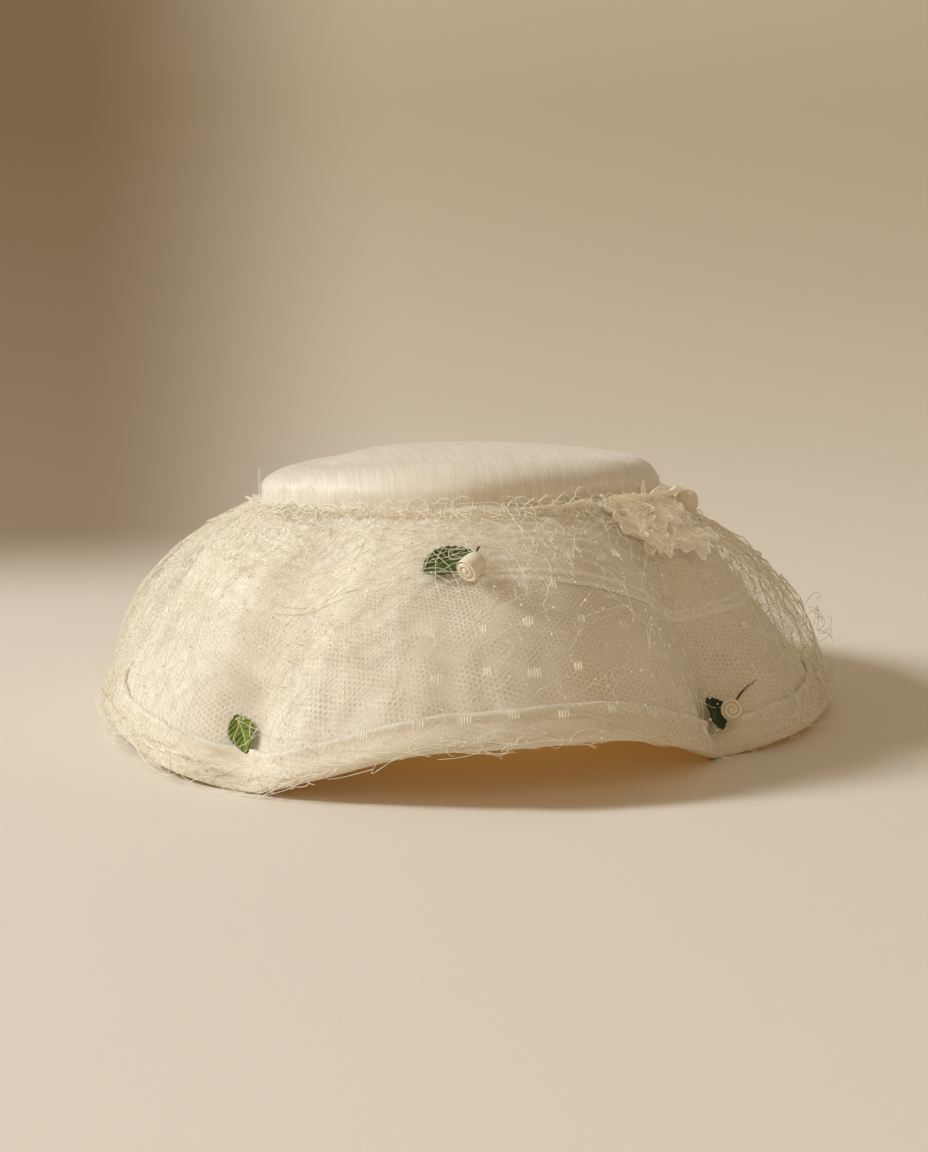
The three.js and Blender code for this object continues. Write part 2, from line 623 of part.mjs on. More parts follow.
// A leaf with a toothed outline, folded a little along its midrib. It follows the cloth under it.
function makeLeaf({ name, turn, size, lift, ...seat }) {
  const length = LEAF_LENGTH * size;
  const halfWidth = (LEAF_WIDTH * size) / 2;
  const across = [-1, -0.5, 0, 0.5, 1];
  const place = (x, y, rise) => {
    const u = x * Math.cos(radians(turn)) - y * Math.sin(radians(turn));
    const v = x * Math.sin(radians(turn)) + y * Math.cos(radians(turn));
    return onCloth(seat, u, v, rise + lift * LEAF_BRIDGE);
  };
  const layer = (raised) => {
    const rows = [];
    for (let i = 0; i <= LEAF_STEPS; i += 1) {
      const t = i / LEAF_STEPS;
      const tooth = i % 2 === 1 ? 1 + LEAF_TOOTH : 1 - LEAF_TOOTH;
      const swell = LEAF_SWELL * Math.sin(Math.PI * t ** 0.85) ** 0.75;
      const spread = halfWidth * tooth * (LEAF_END + swell);
      rows.push(across.map((s) => place((t - 0.5) * length, s * spread, LEAF_FOLD * Math.abs(s) + raised)));
    }
    return rows.flat();
  };
  const columns = across.length;
  const upper = (LEAF_STEPS + 1) * columns;
  const points = [...layer(0), ...layer(LEAF_THICKNESS)];
  const triangles = [];
  const quad = (a, b, c, d) => triangles.push([a, b, c], [a, c, d]);
  for (let i = 0; i < LEAF_STEPS; i += 1) {
    for (let j = 0; j + 1 < columns; j += 1) {
      const a = i * columns + j;
      quad(upper + a, upper + a + columns, upper + a + columns + 1, upper + a + 1);
      quad(a, a + 1, a + columns + 1, a + columns);
    }
    const low = i * columns;
    const high = low + columns - 1;
    quad(low, low + columns, upper + low + columns, upper + low);
    quad(high, upper + high, upper + high + columns, high + columns);
  }
  for (let j = 0; j + 1 < columns; j += 1) {
    const tip = LEAF_STEPS * columns + j;
    quad(j, upper + j, upper + j + 1, j + 1);
    quad(tip, tip + 1, upper + tip + 1, upper + tip);
  }
  return solid(name, points, triangles, FINISHES.leaf);
}

// The frame of a bud: its round back is seated on the cloth, and z runs out of its open face.
function budFrame({ azimuth, down, leanDown, leanRight }) {
  const z = slopeNormal(azimuth, down, 0);
  const x = new THREE.Vector3().crossVectors(UP, z).normalize();
  const frame = new THREE.Group();
  frame.quaternion.setFromRotationMatrix(new THREE.Matrix4().makeBasis(x, z.clone().cross(x), z));
  frame.quaternion.multiply(new THREE.Quaternion().setFromEuler(
    new THREE.Euler(radians(leanDown), radians(leanRight), 0),
  ));
  frame.position.copy(onCloth({ azimuth, down }, 0, 0, BUD_RADIUS - 2 * SEAM_GAP));
  return frame;
}

// A rolled bud: a round back, a short barrel, and two steps of rolled petal in its open face.
function makeBud(bud) {
  const radius = BUD_RADIUS;
  const front = BUD_DEPTH - radius;
  const profile = [];
  for (let turn = -90; turn <= 0; turn += 90 / BUD_BACK_STEPS) {
    profile.push(new THREE.Vector2(radius * Math.cos(radians(turn)), radius * Math.sin(radians(turn))));
  }
  profile[0].x = 0;
  for (const { out, up } of BUD_ROLLS) {
    profile.push(new THREE.Vector2(out * radius, up * front));
  }
  const geometry = new THREE.LatheGeometry(profile, BUD_SIDES);
  geometry.rotateX(Math.PI / 2);
  const frame = budFrame(bud);
  frame.add(named(bud.name, geometry, FINISHES.bud));
  return frame;
}

// A wire stem: it lies on the tulle beside its bud and springs up at its free end.
function makeStem({ name, bud, length, turn }) {
  const owner = BUDS.find((other) => other.name === bud);
  const reach = length * STEM_LENGTH;
  const start = BUD_RADIUS * 0.95;
  const place = ({ along, aside, rise }) => {
    const x = start + along * reach;
    const y = aside * reach;
    const u = x * Math.cos(radians(turn)) - y * Math.sin(radians(turn));
    const v = x * Math.sin(radians(turn)) + y * Math.cos(radians(turn));
    return onCloth(owner, u, v, STEM_RADIUS + rise * reach);
  };
  const route = new THREE.CatmullRomCurve3(STEM_ROUTE.map(place));
  const section = new THREE.Shape().absarc(0, 0, STEM_RADIUS, 0, 2 * Math.PI);
  const shape = { steps: 6, curveSegments: 4, extrudePath: route, bevelEnabled: false };
  return named(name, new THREE.ExtrudeGeometry(section, shape), FINISHES.wire);
}

const azimuths = sectionAzimuths();
const hat = new THREE.Group();
hat.add(
  makeCrown(azimuths),
  makeBrim(azimuths),
  makeHem(azimuths),
  makeSwathe(azimuths),
  makeFrill(),
  makeVeil(),
  ...LEAVES.map(makeLeaf),
  ...BUDS.map(makeBud),
  ...STEMS.map(makeStem),
);

// The origin goes under the middle of the finished outline, on the ground.
hat.updateMatrixWorld(true);
const outline = new THREE.Box3().setFromObject(hat, true);
const middle = outline.getCenter(new THREE.Vector3());
hat.position.set(-middle.x, -middle.y, -outline.min.z);

export default hat;
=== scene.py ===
"""Dresses a picture hat: ribbed crown cloth, layers of tulle, a knotted net veil, leaves and rolled buds.

Everything is in metres in the hat's own frame: +Z is up and the front of the hat faces -Y. Azimuth 0 is the
front and +90 is +X. A place on the brim is an azimuth, in degrees, and a share of the way down its slope.
"""

import logging
import math
from dataclasses import dataclass
from enum import Enum
from functools import reduce
from typing import Any, NamedTuple, Sequence

import bmesh
import bpy
import numpy as np
from mathutils import Matrix, Vector

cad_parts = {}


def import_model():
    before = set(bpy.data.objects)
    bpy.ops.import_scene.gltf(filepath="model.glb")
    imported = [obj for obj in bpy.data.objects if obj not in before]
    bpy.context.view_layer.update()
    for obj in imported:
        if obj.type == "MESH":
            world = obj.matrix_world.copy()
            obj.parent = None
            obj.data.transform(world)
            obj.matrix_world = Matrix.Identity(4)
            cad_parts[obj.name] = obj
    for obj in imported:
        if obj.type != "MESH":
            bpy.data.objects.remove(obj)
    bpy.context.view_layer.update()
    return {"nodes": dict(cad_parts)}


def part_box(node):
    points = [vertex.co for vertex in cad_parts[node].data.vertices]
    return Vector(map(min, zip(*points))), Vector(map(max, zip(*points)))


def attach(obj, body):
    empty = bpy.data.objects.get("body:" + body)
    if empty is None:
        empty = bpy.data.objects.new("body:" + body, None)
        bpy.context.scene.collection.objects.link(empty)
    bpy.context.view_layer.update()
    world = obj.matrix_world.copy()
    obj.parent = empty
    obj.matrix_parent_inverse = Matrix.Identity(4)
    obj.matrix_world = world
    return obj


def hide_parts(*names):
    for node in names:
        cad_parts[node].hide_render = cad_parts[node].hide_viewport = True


log = logging.getLogger("picture_hat")

Array = np.ndarray
Color = tuple[float, float, float]
BODY = "root"
UV_NAME = "UVMap"
# The point attribute that carries painted light: a painted highlight on the crests of folds, and painted
# shade in the folds of the buds.
PAINTED_LIGHT_ATTRIBUTE = "crest"
SEAM_GAP = 0.0003
CLOTH_WALL = 0.0003


class BrimSection(NamedTuple):
    """The brim's outline at an azimuth, with the same columns as the part's own table."""

    azimuth: float
    reach: float
    lift: float
    out: float
    up: float


class Share(NamedTuple):
    """One share of a named size at an azimuth."""

    azimuth: float
    share: float


class FrillSection(NamedTuple):
    """The frill's height and flare at an azimuth, as shares of its named sizes."""

    azimuth: float
    height: float
    flare: float


BRIM_SECTIONS = (
    BrimSection(-180, 0.914, 0.0, 0.5, 0.75),
    BrimSection(-150, 0.93, 0.0, 0.5, 0.75),
    BrimSection(-122, 0.925, 0.04, 0.53, 0.77),
    BrimSection(-90, 0.915, 0.14, 0.55, 0.78),
    BrimSection(-66, 0.95, 0.18, 0.54, 0.77),
    BrimSection(-49, 1.0, 0.12, 0.5, 0.73),
    BrimSection(-38, 0.989, 0.0, 0.46, 0.68),
    BrimSection(-28, 0.989, 0.36, 0.5, 0.77),
    BrimSection(-14, 0.983, 0.88, 0.55, 0.82),
    BrimSection(0, 0.98, 1.0, 0.58, 0.84),
    BrimSection(15, 0.966, 0.98, 0.56, 0.82),
    BrimSection(29, 0.914, 0.5, 0.5, 0.76),
    BrimSection(41, 0.846, 0.0, 0.46, 0.66),
    BrimSection(53, 0.92, 0.16, 0.48, 0.7),
    BrimSection(70, 0.955, 0.18, 0.46, 0.7),
    BrimSection(90, 0.982, 0.13, 0.45, 0.69),
    BrimSection(122, 0.966, 0.03, 0.47, 0.72),
    BrimSection(150, 0.937, 0.0, 0.5, 0.75),
)
SCARF_FOLD = (
    Share(-180, 0.5),
    Share(-90, 0.46),
    Share(-50, 0.43),
    Share(-10, 0.38),
    Share(25, 0.43),
    Share(50, 0.51),
    Share(90, 0.52),
)
VEIL_STANDOFF = (
    Share(-180, 0.85),
    Share(-130, 1.0),
    Share(-90, 1.1),
    Share(-50, 0.9),
    Share(0, 0.7),
    Share(45, 0.85),
    Share(80, 1.7),
    Share(110, 1.9),
    Share(145, 1.1),
)
FRILL_SECTIONS = (
    FrillSection(-180, 0.45, 0.6),
    FrillSection(-90, 0.28, 0.45),
    FrillSection(-40, 0.22, 0.4),
    FrillSection(0, 0.24, 0.5),
    FrillSection(30, 0.5, 0.8),
    FrillSection(55, 0.62, 1.0),
    FrillSection(85, 0.42, 0.9),
    FrillSection(130, 0.6, 0.7),
)


def smoothstep(low: float, high: float, value: Array) -> Array:
    """A soft step from 0 at low to 1 at high.

    Args:
        low: Where the step starts.
        high: Where it ends.
        value: The values to step.

    Returns:
        The stepped values, from 0 to 1.
    """
    t = np.clip((value - low) / (high - low), 0, 1)
    return t * t * (3 - 2 * t)


def around(rows: Sequence[NamedTuple], column: str, azimuth: Array) -> Array:
    """The value of a table's column on a smooth closed curve through its rows.

    Args:
        rows: The table, in order of azimuth.
        column: The name of the column.
        azimuth: Azimuths in degrees.

    Returns:
        The column's value at each azimuth.
    """
    x = np.array([row.azimuth for row in rows], float)
    y = np.array([getattr(row, column) for row in rows], float)
    count = len(rows)
    turn = (np.asarray(azimuth, float) + 180) % 360 - 180
    i = np.clip(np.searchsorted(x, turn, side="right") - 1, 0, count - 1)

    def at(index: Array) -> tuple[Array, Array]:
        """The row at an index that may run past either end."""
        return x[index % count] + 360 * (index // count), y[index % count]

    (ax, ay), (bx, by), (cx, cy), (dx, dy) = at(i - 1), at(i), at(i + 1), at(i + 2)
    t = (turn - bx) / (cx - bx)
    rise_b = (cy - ay) / (cx - ax) * (cx - bx)
    rise_c = (dy - by) / (dx - bx) * (cx - bx)
    s = 1 - t
    return by * s * s * (1 + 2 * t) + rise_b * t * s * s + cy * t * t * (1 + 2 * s) - rise_c * t * t * s


@dataclass(frozen=True)
class Ripples:
    """Smooth seeded unevenness over the brim, closed round the hat."""

    seed: int
    round_waves: tuple[int, int]
    down_waves: tuple[float, float]
    count: int = 16

    def at(self, azimuth: Array, down: Array) -> Array:
        """The unevenness at places on the brim.

        Args:
            azimuth: Azimuths in degrees.
            down: Shares of the slope.

        Returns:
            Values of about -1 to 1.
        """
        rng = np.random.default_rng(self.seed)
        total = 0.0
        for _ in range(self.count):
            turns = rng.integers(self.round_waves[0], self.round_waves[1] + 1)
            falls = rng.uniform(*self.down_waves) * rng.choice((-1, 1))
            phase = rng.uniform(0, 2 * math.pi)
            total = total + np.sin(np.radians(azimuth) * turns + 2 * math.pi * down * falls + phase)
        return total / math.sqrt(self.count) * 0.8


@dataclass(frozen=True)
class HatShape:
    """The hat's driving sizes and the surfaces that its pieces lie on."""

    shift: tuple[float, float] = (0.0, 0.0)
    crown_width: float = 0.182
    crown_length: float = 0.198
    crown_height: float = 0.024
    crown_dome: float = 0.005
    shoulder_width: float = 0.024
    shoulder_drop: float = 0.014
    crown_lean: float = 6.0
    base_height: float = 0.094
    brim_reach: float = 0.175
    arch_lift: float = 0.024
    pinch_depth: float = 0.005
    pinch_ridge: float = 0.003
    pinch_width: float = 5.0
    pinches: tuple[tuple[float, float], ...] = ((-40, -33), (42, 35))

    def polar(self, azimuth: Array, radius: Array, height: Array) -> Array:
        """Points at an azimuth, a distance from the hat's axis and a height."""
        a = np.radians(azimuth)
        return np.stack(np.broadcast_arrays(radius * np.sin(a), -radius * np.cos(a), height), -1)

    def placed(self, points: Array) -> Array:
        """The points moved from the hat's axis into the part's frame."""
        return points + np.array([*self.shift, 0.0])

    def oval(self, azimuth: Array) -> Array:
        """The crown's oval as a distance from its axis."""
        a = np.radians(azimuth)
        return 1 / np.hypot(np.sin(a) / (self.crown_width / 2), np.cos(a) / (self.crown_length / 2))

    def crown_raw(self, azimuth: Array, inset: Array, height: Array) -> Array:
        """Points of the leaning crown, about the hat's axis.

        Args:
            azimuth: Azimuths in degrees.
            inset: Distances in from the crown's wall.
            height: Heights above the crown's foot.

        Returns:
            The points.
        """
        p = self.polar(azimuth, self.oval(azimuth) - inset, height)
        lean = math.radians(-self.crown_lean)
        y = p[..., 1] * math.cos(lean) - p[..., 2] * math.sin(lean)
        z = p[..., 1] * math.sin(lean) + p[..., 2] * math.cos(lean) + self.base_height
        return np.stack([p[..., 0], y, z], -1)

    def crown(self, azimuth: Array, inset: Array, height: Array) -> Array:
        """A point of the crown in the part's frame."""
        return self.placed(self.crown_raw(azimuth, inset, height))

    def lift(self, azimuth: Array) -> Array:
        """The height of the brim's edge."""
        return np.maximum(0, around(BRIM_SECTIONS, "lift", azimuth)) * self.arch_lift

    def pinch(self, azimuth: Array, down: Array) -> Array:
        """How far the pinches push the slope out.

        Args:
            azimuth: Azimuths in degrees.
            down: Shares of the slope.

        Returns:
            The push in metres, negative in a valley.
        """
        push = 0.0
        for valley_at, ridge_at in self.pinches:
            valley = (azimuth - valley_at) / self.pinch_width
            ridge = (azimuth - ridge_at) / self.pinch_width
            push = push + self.pinch_ridge * np.exp(-ridge**2) - self.pinch_depth * np.exp(-valley**2)
        return push * smoothstep(0.45, 0.85, down) * (1 - 0.6 * smoothstep(0.85, 1, down))

    def slope(self, azimuth: Array, down: Array, pinched: float = 1.0) -> Array:
        """Points of the brim's outer face, about the hat's axis.

        Args:
            azimuth: Azimuths in degrees.
            down: Shares of the way from the crown to the edge.
            pinched: The share of the pinches that is followed.

        Returns:
            The points.
        """
        azimuth, down = np.broadcast_arrays(np.asarray(azimuth, float), np.asarray(down, float))
        foot = self.crown_raw(azimuth, 0.0, 0.0)
        foot_radius = np.hypot(foot[..., 0], foot[..., 1])
        reach = around(BRIM_SECTIONS, "reach", azimuth) * self.brim_reach
        lift = self.lift(azimuth)
        out = foot_radius + around(BRIM_SECTIONS, "out", azimuth) * (reach - foot_radius)
        up = lift + around(BRIM_SECTIONS, "up", azimuth) * (foot[..., 2] - lift)
        rest = 1 - down
        radius = rest**2 * foot_radius + 2 * rest * down * out + down**2 * reach
        height = rest**2 * foot[..., 2] + 2 * rest * down * up + down**2 * lift
        turned = (azimuth + 180) % 360 - 180
        return self.polar(azimuth, radius + pinched * self.pinch(turned, down), height)

    def normal(self, azimuth: Array, down: Array, pinched: float = 1.0) -> Array:
        """The outward normals of the brim's outer face.

        Args:
            azimuth: Azimuths in degrees.
            down: Shares of the slope.
            pinched: The share of the pinches that is followed.

        Returns:
            The normals.
        """
        along = self.slope(azimuth, down + 0.01, pinched) - self.slope(azimuth, down - 0.01, pinched)
        across = self.slope(azimuth + 1, down, pinched) - self.slope(azimuth - 1, down, pinched)
        n = np.cross(along, across)
        return n / np.linalg.norm(n, axis=-1, keepdims=True)

    def off(self, azimuth: Array, down: Array, offset: Array, pinched: float = 1.0) -> Array:
        """Points that stand off the brim's outer face, in the part's frame.

        Args:
            azimuth: Azimuths in degrees.
            down: Shares of the slope.
            offset: Distances off the face.
            pinched: The share of the pinches that is followed.

        Returns:
            The points.
        """
        azimuth, down = np.broadcast_arrays(np.asarray(azimuth, float), np.asarray(down, float))
        out = self.normal(azimuth, down, pinched) * np.asarray(offset)[..., None]
        return self.placed(self.slope(azimuth, down, pinched) + out)

    def down_at(self, azimuth: Array, above_edge: Array) -> Array:
        """How far down the slope points lie.

        Args:
            azimuth: Their azimuths in degrees.
            above_edge: Their heights above the brim's edge.

        Returns:
            The shares of the slope.
        """
        up = around(BRIM_SECTIONS, "up", azimuth)
        drop = self.crown_raw(azimuth, 0.0, 0.0)[..., 2] - self.lift(azimuth)
        rest = (-up + np.sqrt(up * up + (1 - 2 * up) * above_edge / drop)) / (1 - 2 * up)
        return 1 - rest

    def per_degree(self, azimuth: float, down: float) -> float:
        """The distance round the brim that one degree is."""
        return float(np.linalg.norm(self.slope(azimuth + 1, down, 0) - self.slope(azimuth, down, 0)))

    def per_share(self, azimuth: float, down: float, step: float = 0.01) -> float:
        """The distance down the slope that a share of 1 would be, measured over a small step."""
        moved = self.slope(azimuth, down + step, 0) - self.slope(azimuth, down, 0)
        return float(np.linalg.norm(moved)) / step


def shape_in_frame() -> HatShape:
    """Finds where the part's crown stands.

    Returns:
        The hat's shape, shifted there.
    """
    axis = HatShape()
    azimuth = np.array([0.0, 90.0, 180.0, 180.0, 270.0])
    height = np.array([SEAM_GAP, 0.01, SEAM_GAP, 0.01, 0.01])
    wall = axis.crown_raw(azimuth, 0.0, height)
    low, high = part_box("crown")
    middle = (wall.min(0) + wall.max(0)) / 2
    return HatShape(shift=((low.x + high.x) / 2 - middle[0], (low.y + high.y) / 2 - middle[1]))


def grid_object(
    name: str,
    points: Array,
    uv: tuple[Array, Array] | None = None,
    closed: tuple[bool, bool] = (False, False),
    crest: Array | None = None,
) -> bpy.types.Object:
    """A mesh object from a grid of points, with a UV map in metres.

    Args:
        name: The object's name.
        points: The grid, as rows by columns by 3.
        uv: The U of each row and the V of each column, one more than the points where that way is closed.
        closed: Whether the rows and the columns close on themselves.
        crest: How much painted light each point gets, for the finish: a painted highlight on the crests of
            tulle folds and painted shade in the folds of the buds.

    Returns:
        The object, linked to the scene and shaded smooth.
    """
    rows, columns = points.shape[:2]
    i = np.arange(rows if closed[0] else rows - 1)
    j = np.arange(columns if closed[1] else columns - 1)
    a, b = [g.ravel() for g in np.meshgrid(i, j, indexing="ij")]
    corners = [(a, b), (a, b + 1), (a + 1, b + 1), (a + 1, b)]
    faces = np.stack([(r % rows) * columns + c % columns for r, c in corners], 1)
    mesh = bpy.data.meshes.new(name)
    mesh.from_pydata(points.reshape(-1, 3).tolist(), [], faces.tolist())
    if uv is None:
        uv = (np.linspace(0, 1, rows + 1), np.linspace(0, 1, columns + 1))
    layer = mesh.uv_layers.new(name=UV_NAME)
    u = np.stack([uv[0][r] for r, _ in corners], 1)
    v = np.stack([uv[1][c] for _, c in corners], 1)
    layer.data.foreach_set("uv", np.stack([u, v], -1).astype(np.float32).ravel())
    mesh.polygons.foreach_set("use_smooth", np.ones(len(mesh.polygons), bool))
    if crest is not None:
        values = np.broadcast_to(crest, (rows, columns)).astype(np.float32).ravel()
        mesh.attributes.new(PAINTED_LIGHT_ATTRIBUTE, "FLOAT", "POINT").data.foreach_set("value", values)
    mesh.update()
    item = bpy.data.objects.new(name, mesh)
    bpy.context.scene.collection.objects.link(item)
    return item


def close_up(item: bpy.types.Object, distance: float = 1e-6) -> None:
    """Merges a mesh's doubled points and turns its faces outwards.

    Args:
        item: The mesh object.
        distance: How close doubled points are.
    """
    bm = bmesh.new()
    bm.from_mesh(item.data)
    bmesh.ops.remove_doubles(bm, verts=bm.verts, dist=distance)
    bmesh.ops.recalc_face_normals(bm, faces=bm.faces)
    bm.to_mesh(item.data)
    bm.free()
    item.data.update()


def join(name: str, parts: Sequence[bpy.types.Object]) -> bpy.types.Object:
    """Joins objects that stand at the origin into one.

    Args:
        name: The joined object's name.
        parts: The objects, which go.

    Returns:
        The joined object.
    """
    bm = bmesh.new()
    for part in parts:
        bm.from_mesh(part.data)
    mesh = bpy.data.meshes.new(name)
    bm.to_mesh(mesh)
    bm.free()
    for part in parts:
        bpy.data.objects.remove(part)
    item = bpy.data.objects.new(name, mesh)
    bpy.context.scene.collection.objects.link(item)
    return item


def thicken(item: bpy.types.Object, thickness: float, offset: float = 0.0) -> None:
    """Gives a sheet a real thickness.

    Args:
        item: The sheet's object.
        thickness: The wall's thickness.
        offset: -1 keeps the outside where it is, 0 thickens both ways.
    """
    wall = item.modifiers.new("wall", "SOLIDIFY")
    wall.thickness = thickness
    wall.offset = offset


def finish_piece(item: bpy.types.Object, material: bpy.types.Material, slot: str, *nodes: str) -> None:
    """Gives a piece its material and its body, and hides the CAD nodes that it stands for.

    Args:
        item: The piece.
        material: Its material.
        slot: Not used.
        *nodes: The CAD nodes that it replaces.
    """
    item.data.materials.clear()
    item.data.materials.append(material)
    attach(item, BODY)
    if nodes:
        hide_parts(*nodes)
    log.info("%s: %d faces", item.name, len(item.data.polygons))


class Tree:
    """A node tree, with a short way to add a node and join it up."""

    def __init__(self, tree: bpy.types.NodeTree) -> None:
        """Keeps the tree that nodes are added to."""
        self.tree = tree

    def add(self, kind: str, inputs: dict[Any, Any] | None = None, **settings: Any) -> bpy.types.Node:
        """Adds a node.

        Args:
            kind: The node's type.
            inputs: A value or a socket to link from, for each input's name or number.
            **settings: The node's own settings.

        Returns:
            The node.
        """
        node = self.tree.nodes.new(kind)
        for name, value in settings.items():
            setattr(node, name, value)
        for key, value in (inputs or {}).items():
            if isinstance(value, bpy.types.NodeSocket):
                self.tree.links.new(value, node.inputs[key])
            else:
                node.inputs[key].default_value = value
        return node

    def link(self, value: bpy.types.NodeSocket, socket: bpy.types.NodeSocket) -> None:
        """Links an output to an input."""
        self.tree.links.new(value, socket)

    def relief(self, shader: bpy.types.Node, height: Any, strength: float, distance: float) -> None:
        """Gives a shader a relief of a distance at full height."""
        bump = self.add("ShaderNodeBump", {"Strength": strength, "Distance": distance, "Height": height})
        self.link(bump.outputs[0], shader.inputs["Normal"])

    def math(self, operation: str, *values: Any) -> bpy.types.NodeSocket:
        """The result of a Math node on values or sockets."""
        return self.add("ShaderNodeMath", dict(enumerate(values)), operation=operation).outputs[0]

    def mix(self, share: Any, first: Any, second: Any) -> bpy.types.NodeSocket:
        """A mix of two colours by a share."""
        inputs = {0: share, 6: first, 7: second}
        return self.add("ShaderNodeMix", inputs, data_type="RGBA").outputs[2]

    def step(self, value: Any, low: float, high: float) -> bpy.types.NodeSocket:
        """A soft step of a value from 0 at low to 1 at high."""
        inputs = {"Value": value, "From Min": low, "From Max": high}
        return self.add("ShaderNodeMapRange", inputs, interpolation_type="SMOOTHSTEP").outputs[0]

    def noise(self, vector: Any, scale: float, detail: float = 3.0) -> bpy.types.NodeSocket:
        """The value of a noise at a vector."""
        return self.add("ShaderNodeTexNoise", {"Vector": vector, "Scale": scale, "Detail": detail}).outputs[0]

    def stretched(self, vector: Any, scale: Sequence[float]) -> bpy.types.NodeSocket:
        """The vector with each of its parts multiplied."""
        return self.add("ShaderNodeMapping", {"Vector": vector, "Scale": tuple(scale)}).outputs[0]


def rgba(color: Color) -> tuple[float, float, float, float]:
    """The colour with a full alpha."""
    return (*color, 1.0)


def new_group(name: str, inputs: dict[str, str], outputs: dict[str, str]) -> tuple[Tree, Any, Any]:
    """Starts a shader node group.

    Args:
        name: The group's name.
        inputs: The type of each input socket, by its name.
        outputs: The type of each output socket, by its name.

    Returns:
        Its tree, and its input and output nodes.
    """
    group = bpy.data.node_groups.new(name, "ShaderNodeTree")
    for socket, kind in inputs.items():
        group.interface.new_socket(socket, in_out="INPUT", socket_type=kind)
    for socket, kind in outputs.items():
        group.interface.new_socket(socket, in_out="OUTPUT", socket_type=kind)
    tree = Tree(group)
    return tree, tree.add("NodeGroupInput"), tree.add("NodeGroupOutput")


def fine_mesh_group() -> bpy.types.NodeTree:
    """The tulle's hexagonal mesh: 1 on its threads and 0 in its holes.

    Returns:
        The node group, with Vector, Cell and Turn inputs and a Threads output.
    """
    number = "NodeSocketFloat"
    sockets = {"Vector": "NodeSocketVector", "Cell": number, "Turn": number}
    tree, given, result = new_group("fine_mesh", sockets, {"Threads": number})
    turned = tree.add(
        "ShaderNodeVectorRotate", {"Vector": given.outputs["Vector"], "Angle": given.outputs["Turn"]},
        rotation_type="Z_AXIS",
    ).outputs[0]
    per_cell = tree.math("DIVIDE", 2 * math.pi, given.outputs["Cell"])
    total = None
    for degrees in (0, 60, 120):
        way = (math.cos(math.radians(degrees)), math.sin(math.radians(degrees)), 0.0)
        along = tree.add("ShaderNodeVectorMath", {0: turned, 1: way}, operation="DOT_PRODUCT")
        wave = tree.math("COSINE", tree.math("MULTIPLY", along.outputs["Value"], per_cell))
        total = wave if total is None else tree.math("ADD", total, wave)
    threads = tree.math("SUBTRACT", 1.0, tree.step(total, -0.4, 1.6))
    tree.link(threads, result.inputs["Threads"])
    return tree.tree


def ribs_group() -> bpy.types.NodeTree:
    """The crown cloth's slubbed ribs, from fine threads that cross.

    Returns:
        The node group, with a Vector input, and Slubs and Height outputs.
    """
    number = "NodeSocketFloat"
    outputs = {"Slubs": number, "Height": number}
    tree, given, result = new_group("slubbed_ribs", {"Vector": "NodeSocketVector"}, outputs)
    vector = given.outputs["Vector"]
    slubs = tree.noise(tree.stretched(vector, (1.0, 0.025, 0.03)), 1500.0, 3.0)
    wide = tree.noise(tree.stretched(vector, (1.0, 0.05, 0.05)), 330.0, 2.0)
    weft = tree.noise(tree.stretched(vector, (0.05, 1.0, 1.0)), 900.0, 2.0)
    both = tree.math("ADD", tree.math("MULTIPLY", slubs, 0.82), tree.math("MULTIPLY", wide, 0.18))
    tree.link(tree.step(both, 0.38, 0.62), result.inputs["Slubs"])
    tree.link(tree.math("ADD", both, tree.math("MULTIPLY", weft, 0.5)), result.inputs["Height"])
    return tree.tree


def age_group() -> bpy.types.NodeTree:
    """The cloth's age: soft yellowed patches and rare small stains.

    Returns:
        The node group, with a Vector input, and Yellowed and Stained outputs.
    """
    number = "NodeSocketFloat"
    outputs = {"Yellowed": number, "Stained": number}
    tree, given, result = new_group("cloth_age", {"Vector": "NodeSocketVector"}, outputs)
    vector = given.outputs["Vector"]
    patches = tree.step(tree.noise(vector, 16.0, 4.0), 0.42, 0.72)
    spots = tree.step(tree.noise(vector, 70.0, 2.0), 0.68, 0.8)
    tree.link(patches, result.inputs["Yellowed"])
    tree.link(spots, result.inputs["Stained"])
    return tree.tree


@dataclass(frozen=True)
class Groups:
    """The shared effects, built once."""

    fine_mesh: bpy.types.NodeTree
    ribs: bpy.types.NodeTree
    age: bpy.types.NodeTree

    @classmethod
    def build(cls) -> "Groups":
        """Builds every shared effect."""
        return cls(fine_mesh_group(), ribs_group(), age_group())


def start_material(name: str) -> tuple[bpy.types.Material, Tree, bpy.types.Node]:
    """Starts a node material with one Principled shader.

    Args:
        name: The material's name.

    Returns:
        The material, its tree and its shader.
    """
    material = bpy.data.materials.new(name)
    material.use_nodes = True
    material.node_tree.nodes.clear()
    tree = Tree(material.node_tree)
    shader = tree.add("ShaderNodeBsdfPrincipled")
    tree.add("ShaderNodeOutputMaterial", {"Surface": shader.outputs[0]})
    return material, tree, shader


def effect(tree: Tree, group: bpy.types.NodeTree, inputs: dict[str, Any]) -> bpy.types.Node:
    """Places a shared effect in a material."""
    return tree.add("ShaderNodeGroup", inputs, node_tree=group)


